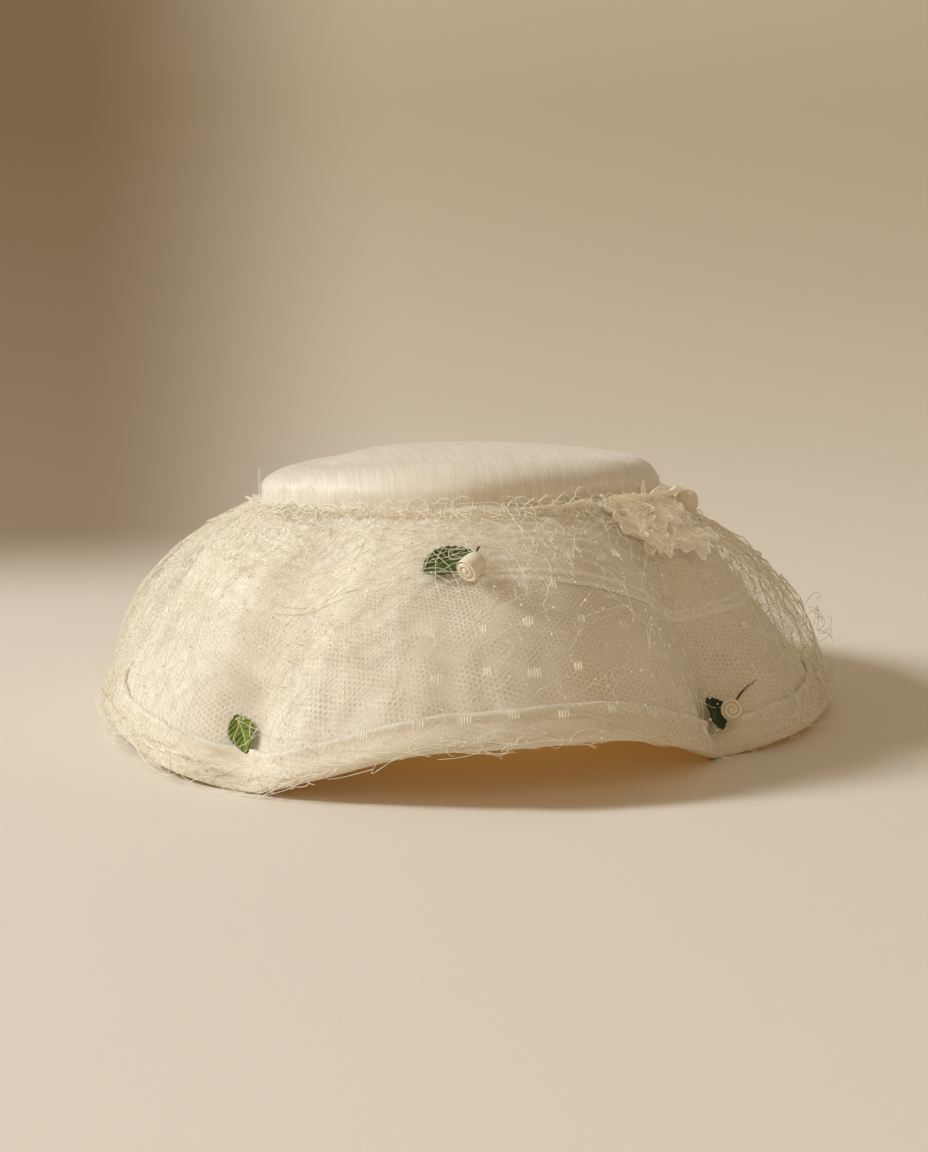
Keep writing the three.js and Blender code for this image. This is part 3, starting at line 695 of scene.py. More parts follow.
@dataclass(frozen=True)
class TulleFinish:
    """Tulle in two layers of mesh over what shows through its holes, with painted highlights on its folds'
    crests.
    """

    name: str
    thread: Color = (0.87, 0.8, 0.66)
    behind: Color = (0.77, 0.68, 0.52)
    yellowed: Color = (0.77, 0.66, 0.45)
    cell: float = 0.0017
    bump: float = 0.35
    alpha_holes: float = 1.0
    alpha_threads: float = 1.0
    alpha_crest: float = 0.0
    # The colour of the painted highlight on the crests of folds, and how much of it is painted on.
    crest: Color = (0.93, 0.89, 0.79)
    painted_highlight: float = 0.7
    # Emission that paints a glow on the tulle though it is no lamp: its strength, and its colour away from
    # the crests of folds.
    lit_crest: float = 0.0
    glow: Color = (0.0, 0.0, 0.0)
    turns: tuple[float, float] = (0.2, 0.32)
    lower_cell: float = 1.07
    thread_height: float = 0.0004

    def build(self, groups: Groups) -> bpy.types.Material:
        """Builds the material.

        Args:
            groups: The shared effects.

        Returns:
            The material.
        """
        material, tree, shader = start_material(self.name)
        uv = tree.add("ShaderNodeUVMap", uv_map=UV_NAME).outputs[0]
        place = tree.add("ShaderNodeTexCoord").outputs["Object"]
        wander = tree.noise(place, 30.0, 2.0)
        upper, lower = [
            effect(tree, groups.fine_mesh, {"Vector": uv, "Cell": cell, "Turn": turn}).outputs[0]
            for cell, turn in zip((self.cell, self.cell * self.lower_cell), self.turns)
        ]
        threads = tree.math("MAXIMUM", upper, tree.math("MULTIPLY", lower, tree.step(wander, 0.35, 0.65)))
        age = effect(tree, groups.age, {"Vector": place})
        aged = tree.math("MULTIPLY", age.outputs["Yellowed"], 0.55)
        cloth = tree.mix(aged, rgba(self.behind), rgba(self.yellowed))
        woven = tree.mix(tree.math("MULTIPLY", threads, 0.8), cloth, rgba(self.thread))
        crest = tree.add("ShaderNodeAttribute", attribute_name=PAINTED_LIGHT_ATTRIBUTE).outputs["Fac"]
        # Painted highlight: the crests of the folds are whitened.
        color = tree.mix(tree.math("MULTIPLY", crest, self.painted_highlight), woven, rgba(self.crest))
        tree.link(color, shader.inputs["Base Color"])
        shader.inputs["Roughness"].default_value = 0.7
        shader.inputs["Sheen Weight"].default_value = 0.25
        shader.inputs["Sheen Roughness"].default_value = 0.5
        # Painted glow: emission brightens the tulle, most on the crests of its folds.
        if self.lit_crest > 0:
            painted_glow = tree.mix(crest, rgba(self.glow), rgba(self.crest))
            tree.link(painted_glow, shader.inputs["Emission Color"])
            shader.inputs["Emission Strength"].default_value = self.lit_crest
        tree.relief(shader, threads, self.bump, self.thread_height)
        if self.alpha_holes < 1:
            inputs = {"Value": threads, "To Min": self.alpha_holes, "To Max": self.alpha_threads}
            alpha = tree.add("ShaderNodeMapRange", inputs).outputs[0]
            dense = tree.math("MULTIPLY", crest, self.alpha_crest)
            tree.link(tree.math("ADD", alpha, dense), shader.inputs["Alpha"])
        return material


@dataclass(frozen=True)
class RibbedFinish:
    """The crown's ribbed cloth, with slubs, patches of age and small stains."""

    name: str = "crown_cloth"
    light: Color = (0.85, 0.79, 0.67)
    dark: Color = (0.74, 0.66, 0.51)
    stain: Color = (0.66, 0.48, 0.2)
    roughness: float = 0.62

    def build(self, groups: Groups) -> bpy.types.Material:
        """Builds the material.

        Args:
            groups: The shared effects.

        Returns:
            The material.
        """
        material, tree, shader = start_material(self.name)
        place = tree.add("ShaderNodeTexCoord").outputs["Object"]
        ribs = effect(tree, groups.ribs, {"Vector": place})
        age = effect(tree, groups.age, {"Vector": place})
        woven = tree.mix(ribs.outputs["Slubs"], rgba(self.dark), rgba(self.light))
        aged = tree.mix(tree.math("MULTIPLY", age.outputs["Yellowed"], 0.35), woven, rgba(self.dark))
        stained = tree.mix(tree.math("MULTIPLY", age.outputs["Stained"], 0.5), aged, rgba(self.stain))
        tree.link(stained, shader.inputs["Base Color"])
        shader.inputs["Roughness"].default_value = self.roughness
        shader.inputs["Sheen Weight"].default_value = 0.3
        tree.relief(shader, ribs.outputs["Height"], 0.5, 0.0004)
        return material


@dataclass(frozen=True)
class ThreadFinish:
    """Cotton thread, a little uneven in colour."""

    name: str
    light: Color = (0.88, 0.81, 0.64)
    dark: Color = (0.78, 0.66, 0.42)
    roughness: float = 0.6

    def build(self, groups: Groups) -> bpy.types.Material:
        """Builds the material.

        Args:
            groups: The shared effects.

        Returns:
            The material.
        """
        material, tree, shader = start_material(self.name)
        place = tree.add("ShaderNodeTexCoord").outputs["Object"]
        age = effect(tree, groups.age, {"Vector": place})
        twist = tree.noise(place, 900.0, 2.0)
        share = tree.math("MULTIPLY", tree.math("ADD", age.outputs["Yellowed"], twist), 0.5)
        tree.link(tree.mix(share, rgba(self.light), rgba(self.dark)), shader.inputs["Base Color"])
        shader.inputs["Roughness"].default_value = self.roughness
        tree.relief(shader, twist, 0.4, 0.0002)
        return material


@dataclass(frozen=True)
class LeafFinish:
    """Dyed leaf cloth, with a midrib and side veins in the leaf's own UV map."""

    name: str
    blade: Color = (0.055, 0.12, 0.022)
    vein: Color = (0.2, 0.3, 0.09)
    vein_pitch: float = 0.13

    def build(self, groups: Groups) -> bpy.types.Material:
        """Builds the material.

        Args:
            groups: Not used.

        Returns:
            The material.
        """
        material, tree, shader = start_material(self.name)
        uv = tree.add("ShaderNodeUVMap", uv_map=UV_NAME).outputs[0]
        parts = tree.add("ShaderNodeSeparateXYZ", {0: uv})
        side = tree.math("ABSOLUTE", tree.math("SUBTRACT", parts.outputs[1], 0.5))
        slant = tree.math("SUBTRACT", parts.outputs[0], tree.math("MULTIPLY", side, 0.45))
        wave = tree.math("PINGPONG", slant, self.vein_pitch / 2)
        side_vein = tree.math("SUBTRACT", 1.0, tree.step(wave, 0.0, self.vein_pitch * 0.16))
        midrib = tree.math("SUBTRACT", 1.0, tree.step(side, 0.015, 0.05))
        veins = tree.math("MAXIMUM", midrib, tree.math("MULTIPLY", side_vein, 0.6))
        mottle = tree.noise(tree.add("ShaderNodeTexCoord").outputs["Object"], 500.0, 3.0)
        shade = tuple(0.55 * channel for channel in self.blade)
        shaded = tree.mix(tree.step(mottle, 0.3, 0.75), rgba(shade), rgba(self.blade))
        tree.link(tree.mix(veins, shaded, rgba(self.vein)), shader.inputs["Base Color"])
        shader.inputs["Roughness"].default_value = 0.7
        shader.inputs["Specular IOR Level"].default_value = 0.25
        shader.inputs["Sheen Weight"].default_value = 0.08
        height = tree.math("ADD", tree.math("MULTIPLY", veins, -0.7), tree.math("MULTIPLY", mottle, 0.5))
        tree.relief(shader, height, 0.7, 0.0005)
        return material


@dataclass(frozen=True)
class RibbonFinish:
    """The buds' ribbon, with painted shade in the folds of its roll."""

    name: str
    light: Color = (0.86, 0.79, 0.62)
    # The dark colour is the painted shade laid into the folds.
    dark: Color = (0.56, 0.4, 0.17)

    def build(self, groups: Groups) -> bpy.types.Material:
        """Builds the material.

        Args:
            groups: Not used.

        Returns:
            The material.
        """
        material, tree, shader = start_material(self.name)
        # Painted shade: the point attribute darkens the ribbon in the folds of its roll.
        fold = tree.add("ShaderNodeAttribute", attribute_name=PAINTED_LIGHT_ATTRIBUTE).outputs["Fac"]
        place = tree.add("ShaderNodeTexCoord").outputs["Object"]
        grain = tree.noise(place, 1400.0, 2.0)
        share = tree.math("ADD", tree.math("MULTIPLY", fold, 0.85), tree.math("MULTIPLY", grain, 0.15))
        tree.link(tree.mix(share, rgba(self.light), rgba(self.dark)), shader.inputs["Base Color"])
        shader.inputs["Roughness"].default_value = 0.5
        shader.inputs["Sheen Weight"].default_value = 0.2
        tree.relief(shader, grain, 0.3, 0.0002)
        return material


@dataclass(frozen=True)
class Threads:
    """A graph of threads: its points, the pairs of points that are joined, and each point's size of knot."""

    points: Array
    pairs: Array
    knots: Array

    def joined(self, other: "Threads") -> "Threads":
        """Adds another graph to this one.

        Args:
            other: The other graph.

        Returns:
            Both in one graph.
        """
        pairs = np.concatenate([self.pairs, other.pairs + len(self.points)])
        points = np.concatenate([self.points, other.points])
        return Threads(points, pairs, np.concatenate([self.knots, other.knots]))


def thread_tree() -> bpy.types.NodeTree:
    """The tree that gives a graph of threads its round threads and its knots.

    Returns:
        The geometry node tree, with Radius, Unevenness, Knot, Seed and Material inputs.
    """
    group = bpy.data.node_groups.new("threads", "GeometryNodeTree")
    number, whole = "NodeSocketFloat", "NodeSocketInt"
    sockets = {
        "Geometry": "NodeSocketGeometry", "Radius": number, "Unevenness": number, "Knot": number,
        "Sides": whole, "Seed": whole, "Material": "NodeSocketMaterial",
    }
    for name, kind in sockets.items():
        group.interface.new_socket(name, in_out="INPUT", socket_type=kind)
    group.interface.new_socket("Geometry", in_out="OUTPUT", socket_type="NodeSocketGeometry")
    tree = Tree(group)
    given = tree.add("NodeGroupInput").outputs
    thinnest = tree.math("SUBTRACT", 1.0, given["Unevenness"])
    thickest = tree.math("ADD", 1.0, given["Unevenness"])
    size = tree.add(
        "FunctionNodeRandomValue", {2: thinnest, 3: thickest, "Seed": given["Seed"]}, data_type="FLOAT",
    )
    curves = tree.add("GeometryNodeMeshToCurve", {0: given["Geometry"]})
    sized = tree.add("GeometryNodeSetCurveRadius", {0: curves.outputs[0], "Radius": size.outputs[1]})
    ring = tree.add(
        "GeometryNodeCurvePrimitiveCircle", {"Resolution": given["Sides"], "Radius": given["Radius"]},
    )
    tubes = tree.add(
        "GeometryNodeCurveToMesh",
        {0: sized.outputs[0], 1: ring.outputs[0], "Scale": size.outputs[1], "Fill Caps": True},
    )
    knot = tree.add("GeometryNodeInputNamedAttribute", {"Name": "knot"}, data_type="FLOAT").outputs[0]
    is_knot = tree.add("FunctionNodeCompare", {0: knot, 1: 0.01}, data_type="FLOAT", operation="GREATER_THAN")
    spots = tree.add("GeometryNodeMeshToPoints", {0: given["Geometry"], 1: is_knot.outputs[0]})
    ball = tree.add("GeometryNodeMeshIcoSphere", {"Radius": given["Knot"], "Subdivisions": 1})
    turn = tree.add(
        "FunctionNodeRandomValue", {0: (0.0, 0.0, 0.0), 1: (6.28, 6.28, 6.28), "Seed": given["Seed"]},
        data_type="FLOAT_VECTOR",
    )
    balls = tree.add(
        "GeometryNodeInstanceOnPoints",
        {0: spots.outputs[0], "Instance": ball.outputs[0], "Rotation": turn.outputs[0], "Scale": knot},
    )
    both = tree.add("GeometryNodeJoinGeometry")
    tree.link(balls.outputs[0], both.inputs[0])
    tree.link(tubes.outputs[0], both.inputs[0])
    real = tree.add("GeometryNodeRealizeInstances", {0: both.outputs[0]})
    smooth = tree.add("GeometryNodeSetShadeSmooth", {0: real.outputs[0]})
    dressed = tree.add("GeometryNodeSetMaterial", {0: smooth.outputs[0], "Material": given["Material"]})
    tree.add("NodeGroupOutput", {0: dressed.outputs[0]})
    return group


@dataclass(frozen=True)
class ThreadMaker:
    """Turns graphs of threads into pieces."""

    tree: bpy.types.NodeTree

    def make(
        self, name: str, threads: Threads, material: bpy.types.Material, radius: float,
        knot: float = 0.0, unevenness: float = 0.2, sides: int = 4, seed: int = 1,
    ) -> bpy.types.Object:
        """Makes one piece of round threads.

        Args:
            name: The piece's name.
            threads: The graph.
            material: The thread's material.
            radius: The thread's radius.
            knot: The radius of a knot of size 1.
            unevenness: How much the thread's thickness varies, as a share.
            sides: The sides of a thread.
            seed: The seed of the unevenness.

        Returns:
            The piece, as a plain mesh.
        """
        mesh = bpy.data.meshes.new(name)
        mesh.from_pydata(threads.points.tolist(), threads.pairs.tolist(), [])
        sizes = mesh.attributes.new("knot", "FLOAT", "POINT")
        sizes.data.foreach_set("value", threads.knots.astype(np.float32))
        item = bpy.data.objects.new(name, mesh)
        bpy.context.scene.collection.objects.link(item)
        modifier = item.modifiers.new("threads", "NODES")
        modifier.node_group = self.tree
        values = {
            "Radius": radius, "Unevenness": unevenness, "Knot": knot, "Sides": sides, "Seed": seed,
            "Material": material,
        }
        for socket in self.tree.interface.items_tree:
            if socket.in_out == "INPUT" and socket.name in values:
                modifier[socket.identifier] = values[socket.name]
        ready = item.evaluated_get(bpy.context.evaluated_depsgraph_get())
        made = bpy.data.meshes.new_from_object(ready)
        item.modifiers.remove(modifier)
        item.data = made
        made.name = name
        return item


@dataclass(frozen=True)
class Crown:
    """The shallow crown: a cloth-covered cap with a soft shoulder, open below."""

    shape: HatShape
    wall: float = 0.002
    foot: float = SEAM_GAP
    sides: int = 144
    unevenness: float = 0.0005
    slump_depth: float = 0.0045
    slump_azimuth: float = -85.0
    slump_width: float = 55.0

    def build(self, finish: bpy.types.Material) -> bpy.types.Object:
        """Builds the crown's outside and inside in one closed wall.

        Args:
            finish: The cloth's material.

        Returns:
            The crown.
        """
        s = self.shape
        azimuth = np.arange(self.sides) * 360 / self.sides
        radius = s.oval(azimuth)
        dents = Ripples(3, (3, 14), (0.5, 2.0))
        turned = (azimuth + 180) % 360 - 180
        slump = self.slump_depth * np.exp(-(((turned - self.slump_azimuth) / self.slump_width) ** 2))
        columns = []
        for share in np.linspace(0, 1, 12)[:-1]:
            height = s.crown_height + s.crown_dome * (1 - share**2)
            inset = radius - (radius - s.shoulder_width) * share
            uneven = dents.at(azimuth, share) * self.unevenness * share
            columns.append(s.crown(azimuth, inset, height + uneven - slump * share**3))
        for turn in np.linspace(90, 0, 14):
            a = math.radians(turn)
            inset = s.shoulder_width * (1 - math.cos(a))
            height = s.crown_height - s.shoulder_drop * (1 - math.sin(a))
            uneven = dents.at(azimuth, 1.0 + turn / 90) * self.unevenness
            columns.append(s.crown(azimuth, inset + uneven, height - slump * math.sin(a)))
        for height in np.linspace(s.crown_height - s.shoulder_drop, self.foot, 5)[1:]:
            columns.append(s.crown(azimuth, 0.0, height))
        columns.append(s.crown(azimuth, self.wall, self.foot))
        for turn in np.linspace(0, 90, 7):
            a = math.radians(turn)
            inset = s.shoulder_width - (s.shoulder_width - self.wall) * math.cos(a)
            height = s.crown_height - s.shoulder_drop + (s.shoulder_drop - self.wall) * math.sin(a)
            columns.append(s.crown(azimuth, inset, height - slump * math.sin(a)))
        for share in (0.7, 0.35, 0.0):
            height = s.crown_height - self.wall - slump * share**3
            columns.append(s.crown(azimuth, radius - (radius - s.shoulder_width) * share, height))
        points = np.stack(columns, 1)
        item = grid_object("crown_cloth", points, closed=(True, False))
        close_up(item)
        finish_piece(item, finish, "crown_cloth", "crown")
        return item


@dataclass(frozen=True)
class Brim:
    """The stiffened brim under its cover of tulle, with a collar inside the crown."""

    shape: HatShape
    wall: float = 0.002
    collar_height: float = 0.008
    collar_inset: float = 0.0023
    hem_clearance: float = 0.0052
    gather_depth: float = 0.0006
    mean_radius: float = 0.15
    mean_slope: float = 0.12
    sides: int = 288
    steps: int = 34

    def build(self, finish: bpy.types.Material) -> bpy.types.Object:
        """Builds the brim as one closed wall.

        Args:
            finish: The covered brim's material.

        Returns:
            The brim.
        """
        s = self.shape
        azimuth = (np.arange(self.sides) * 360 / self.sides - 180)[:, None]
        end = s.down_at(azimuth, self.hem_clearance)
        share = np.linspace(0, 1, self.steps)[None, :]
        down = share * end
        gathers = Ripples(11, (40, 90), (0.2, 1.0)).at(azimuth, down) * self.gather_depth
        sags = Ripples(12, (2, 7), (0.5, 1.5)).at(azimuth, down) * self.gather_depth
        uneven = gathers * smoothstep(0.45, 0.9, down) + sags * smoothstep(0.1, 0.5, down)
        outer = s.off(azimuth, down, np.minimum(uneven, 0.0001))
        inner = s.off(azimuth, down[:, ::-2], -self.wall * np.ones_like(down[:, ::-2]))
        collar = [
            s.crown(azimuth, self.collar_inset, self.collar_height),
            s.crown(azimuth, self.collar_inset, 0.0),
        ]
        inside = [
            s.crown(azimuth, self.collar_inset + self.wall, -self.wall),
            s.crown(azimuth, self.collar_inset + self.wall, self.collar_height),
        ]
        points = np.concatenate([*collar, outer, inner, *inside], 1)
        u = np.radians(np.arange(self.sides + 1) * 360 / self.sides) * self.mean_radius
        fall = share[0] * self.mean_slope
        v = np.concatenate([[-0.01, -0.002], fall, fall[::-2], [0, 0, -0.01]])
        item = grid_object("brim_cover", points, (u, v), (True, True))
        close_up(item)
        finish_piece(item, finish, "brim_cloth", "brim")
        return item


class HemStep(NamedTuple):
    """A point of the hem's outer face: its share of the height, and how far it puffs out."""

    share: float
    puff: float


HEM_STEPS = (
    HemStep(0.98, 0.0012),
    HemStep(0.9, 0.0011),
    HemStep(0.8, 0.0002),
    HemStep(0.68, 0.0001),
    HemStep(0.5, 0.0009),
    HemStep(0.32, 0.0014),
    HemStep(0.18, 0.0012),
)


@dataclass(frozen=True)
class Hem:
    """The folded tulle that binds the brim's edge."""

    shape: HatShape
    wall: float = 0.0012
    gap: float = SEAM_GAP
    brim_wall: float = 0.002
    height: float = 0.0135
    roll: float = 0.0012
    sides: int = 360
    mean_radius: float = 0.17
    cut: float = 0.045

    def build(self, finish: bpy.types.Material) -> bpy.types.Object:
        """Builds the hem as one closed channel round the edge.

        Args:
            finish: The tulle's material.

        Returns:
            The hem.
        """
        s = self.shape
        azimuth = (np.arange(self.sides) * 360 / self.sides - 180)[:, None]
        outside = self.gap + self.wall
        inside = -(self.brim_wall + self.gap + self.wall)
        stitches = Ripples(21, (20, 60), (0, 0)).at(azimuth, 0.0) * 0.0004
        wave = stitches + Ripples(22, (4, 9), (0, 0)).at(azimuth, 0.0) * 0.0007

        def face(height: Array | float, offset: Array | float) -> Array:
            """The hem's points at a height.

            Args:
                height: Their height above the brim's edge.
                offset: How far they stand off the brim's face.

            Returns:
                The points.
            """
            above = np.broadcast_to(np.asarray(height, float), azimuth.shape)
            out = np.broadcast_to(np.asarray(offset, float), azimuth.shape)
            return s.off(azimuth, s.down_at(azimuth, above), out)

        top = self.height + wave
        columns = [face(top, self.gap * 0.5), face(top + 0.0006, outside * 0.8)]
        for step in HEM_STEPS:
            columns.append(face(top * step.share, outside + step.puff + wave * 0.3))
        lift = s.lift(azimuth)

        def foot(offset: float, height: float) -> Array:
            """The points of the hem's underside.

            Args:
                offset: How far they stand off the brim's face.
                height: Their height above the brim's edge.

            Returns:
                The points.
            """
            above = np.full(azimuth.shape, max(height, 0.0001))
            tilt = s.normal(azimuth, s.down_at(azimuth, above), 0)[..., 2]
            point = face(height - offset * tilt, offset)
            point[..., 2] = lift + height
            return point

        columns += [foot(outside + self.roll * 0.3, 0.0012), foot(outside - 0.0003, 0.00035)]
        columns += [foot(outside - 0.0012, 0.0)]
        columns += [foot(inside + 0.0014, 0.0), foot(inside + 0.0003, 0.0004), foot(inside - 0.0003, 0.0014)]
        columns += [face(top * share, inside) for share in (0.3, 0.6, 0.92)]
        columns += [face(top, inside + self.wall * 0.5), face(top * 0.9, inside + self.wall)]
        columns += [face(top * 0.4, inside + self.wall), foot(inside + self.wall, self.wall)]
        columns += [foot(self.gap, self.wall), face(top * 0.5, self.gap)]
        points = np.concatenate(columns, 1)
        u = np.radians(np.arange(self.sides + 1) * 360 / self.sides) * self.mean_radius
        v = np.linspace(0, self.cut, points.shape[1] + 1)
        # Painted highlight: the hem's top ridge is whitened by the finish.
        ridge = np.zeros(points.shape[1])
        ridge[1:5] = (0.6, 1.0, 0.5, 0.0)
        item = grid_object("hem_binding", points, (u, v), (True, True), ridge * 0.8)
        close_up(item)
        finish_piece(item, finish, "tulle", "brim_hem")
        return item


class Fold(NamedTuple):
    """A long fold of the scarf: where it lies across it, its width, its height, and how far it wanders."""

    across: float
    width: float
    height: float
    wander: float


@dataclass(frozen=True)
class ScarfLayer:
    """One turn of the tulle scarf round the upper brim."""

    shape: HatShape
    name: str
    seat: float
    folds: tuple[Fold, ...]
    top: float = 0.03
    extra: float = 0.0
    seed: int = 31
    edge: float = 0.0009
    climb: float = 0.0045
    sides: int = 400
    mean_radius: float = 0.13
    cut: float = 0.05

    def lower_edge(self, azimuth: Array) -> Array:
        """How far down the slope the layer's folded edge lies."""
        wander = Ripples(self.seed, (2, 9), (0, 0)).at(azimuth, 0.0) * 0.012
        return around(SCARF_FOLD, "share", azimuth) + self.extra + wander

    def offset(self, azimuth: Array, across: Array) -> Array:
        """The layer's height off the brim.

        Args:
            azimuth: Azimuths in degrees.
            across: Shares of the layer's width, from the crown down.

        Returns:
            The offsets in metres.
        """
        fine = Ripples(self.seed + 80, (8, 46), (4, 9), 24).at(azimuth, across) * 0.00022
        shown = smoothstep(-15, 10, (azimuth + 180) % 360 - 180)
        rolled = self.edge * (0.15 + 0.85 * shown) * np.exp(-(((across - 0.985) / 0.02) ** 2))
        thinned = self.seat * (1 - 0.7 * smoothstep(0.7, 1, across))
        return thinned + self.swell(azimuth, across) + fine + rolled

    def swell(self, azimuth: Array, across: Array) -> Array:
        """How far the layer's long folds stand up.

        Args:
            azimuth: Azimuths in degrees.
            across: Shares of the layer's width, from the crown down.

        Returns:
            The folds' heights in metres.
        """
        height = np.zeros(np.broadcast(azimuth, across).shape)
        for index, fold in enumerate(self.folds):
            middle = fold.across + fold.wander * Ripples(self.seed + index, (2, 7), (0, 0)).at(azimuth, 0.0)
            swell = 0.55 + 0.5 * Ripples(self.seed + 40 + index, (3, 11), (0, 0)).at(azimuth, 0.0)
            away = (across - middle) / fold.width
            lean = np.abs(np.where(away > 0, away * 2.4, away))
            height = height + fold.height * np.clip(swell, 0, 1.1) * np.exp(-(lean**1.3))
        return height

    def build(self, finish: bpy.types.Material, rests_on: Sequence[str], *nodes: str) -> bpy.types.Object:
        """Builds the layer as a sheet with a folded lower edge.

        Args:
            finish: The tulle's material.
            rests_on: Not used.
            *nodes: The CAD nodes that it replaces.

        Returns:
            The layer.
        """
        s = self.shape
        azimuth = (np.arange(self.sides) * 360 / self.sides - 180)[:, None]
        across = np.concatenate([np.linspace(0, 0.94, 52), np.linspace(0.955, 1, 6)])[None, :]
        low = self.lower_edge(azimuth)
        down = self.top + (low - self.top) * across
        outer = s.off(azimuth, down, self.offset(azimuth, across), 1.0)
        tuck = s.off(azimuth, low + 0.004, np.full(low.shape, 0.0001))
        climb = self.climb * (1 + 0.25 * Ripples(self.seed + 9, (5, 24), (0, 0)).at(azimuth, 0.0))
        inset = np.array([[-0.0003, -0.0006, -0.0013]])
        lead = s.crown(azimuth, inset, SEAM_GAP + climb * np.array([[1, 0.6, 0.25]]))
        points = np.concatenate([lead, outer, tuck], 1)
        u = np.radians(np.arange(self.sides + 1) * 360 / self.sides) * self.mean_radius
        v = np.concatenate([[-0.006, -0.004, -0.002], across[0] * self.cut, [0.051, 0.052]])
        # Painted highlight on the crests of the long folds and along the folded edge, strongest at the right
        # front.
        crest = np.clip(self.swell(azimuth, across) / 0.0011, 0, 1) ** 2 * 0.8
        shown = smoothstep(-15, 10, azimuth) * (1 - smoothstep(60, 90, azimuth))
        painted_edge_highlight = smoothstep(0.94, 0.98, across) * (0.15 + 0.85 * shown)
        blank = np.zeros((self.sides, 3))
        crest = np.concatenate([blank, np.maximum(crest, painted_edge_highlight), np.maximum(painted_edge_highlight[:, -1:], 0)], 1)
        item = grid_object(self.name, points, (u, v), (True, False), np.clip(crest, 0, 1))
        thicken(item, CLOTH_WALL, -1)
        finish_piece(item, finish, "tulle", *nodes)
        return item


@dataclass(frozen=True)
class Frill:
    """The crumpled tulle that stands at the foot of the crown."""

    shape: HatShape
    height: float = 0.0135
    flare: float = 0.0095
    foot_out: float = 0.0012
    puckers: int = 47
    sides: int = 720
    mean_radius: float = 0.14
    cut: float = 0.016

    def build(self, finish: bpy.types.Material) -> bpy.types.Object:
        """Builds the frill as one gathered strip.

        Args:
            finish: The tulle's material.

        Returns:
            The frill.
        """
        s = self.shape
        azimuth = (np.arange(self.sides) * 360 / self.sides - 180)[:, None]
        share = np.linspace(0, 1, 15)[None, :]
        height = around(FRILL_SECTIONS, "height", azimuth) * self.height
        flare = around(FRILL_SECTIONS, "flare", azimuth) * self.flare
        drift = Ripples(51, (5, 26), (0, 0.6)).at(azimuth, share) * 3.2
        pucker = np.sin(np.radians(azimuth) * self.puckers + drift)
        crumple = Ripples(52, (30, 110), (0.5, 2.2), 26).at(azimuth, share)
        torn = 1 + 0.16 * Ripples(53, (12, 70), (0, 0)).at(azimuth, 0.0)
        out = self.foot_out + flare * share**1.6 + (pucker * 0.0008 + crumple * 0.0013) * (0.15 + share)
        up = SEAM_GAP + height * torn * share + crumple * 0.0006 * share
        points = s.crown(azimuth, -out, up)
        u = np.radians(np.arange(self.sides + 1) * 360 / self.sides) * self.mean_radius
        item = grid_object("frill", points, (u, share[0] * self.cut), (True, False))
        thicken(item, CLOTH_WALL)
        finish_piece(item, finish, "tulle", "tulle_frill")
        return item


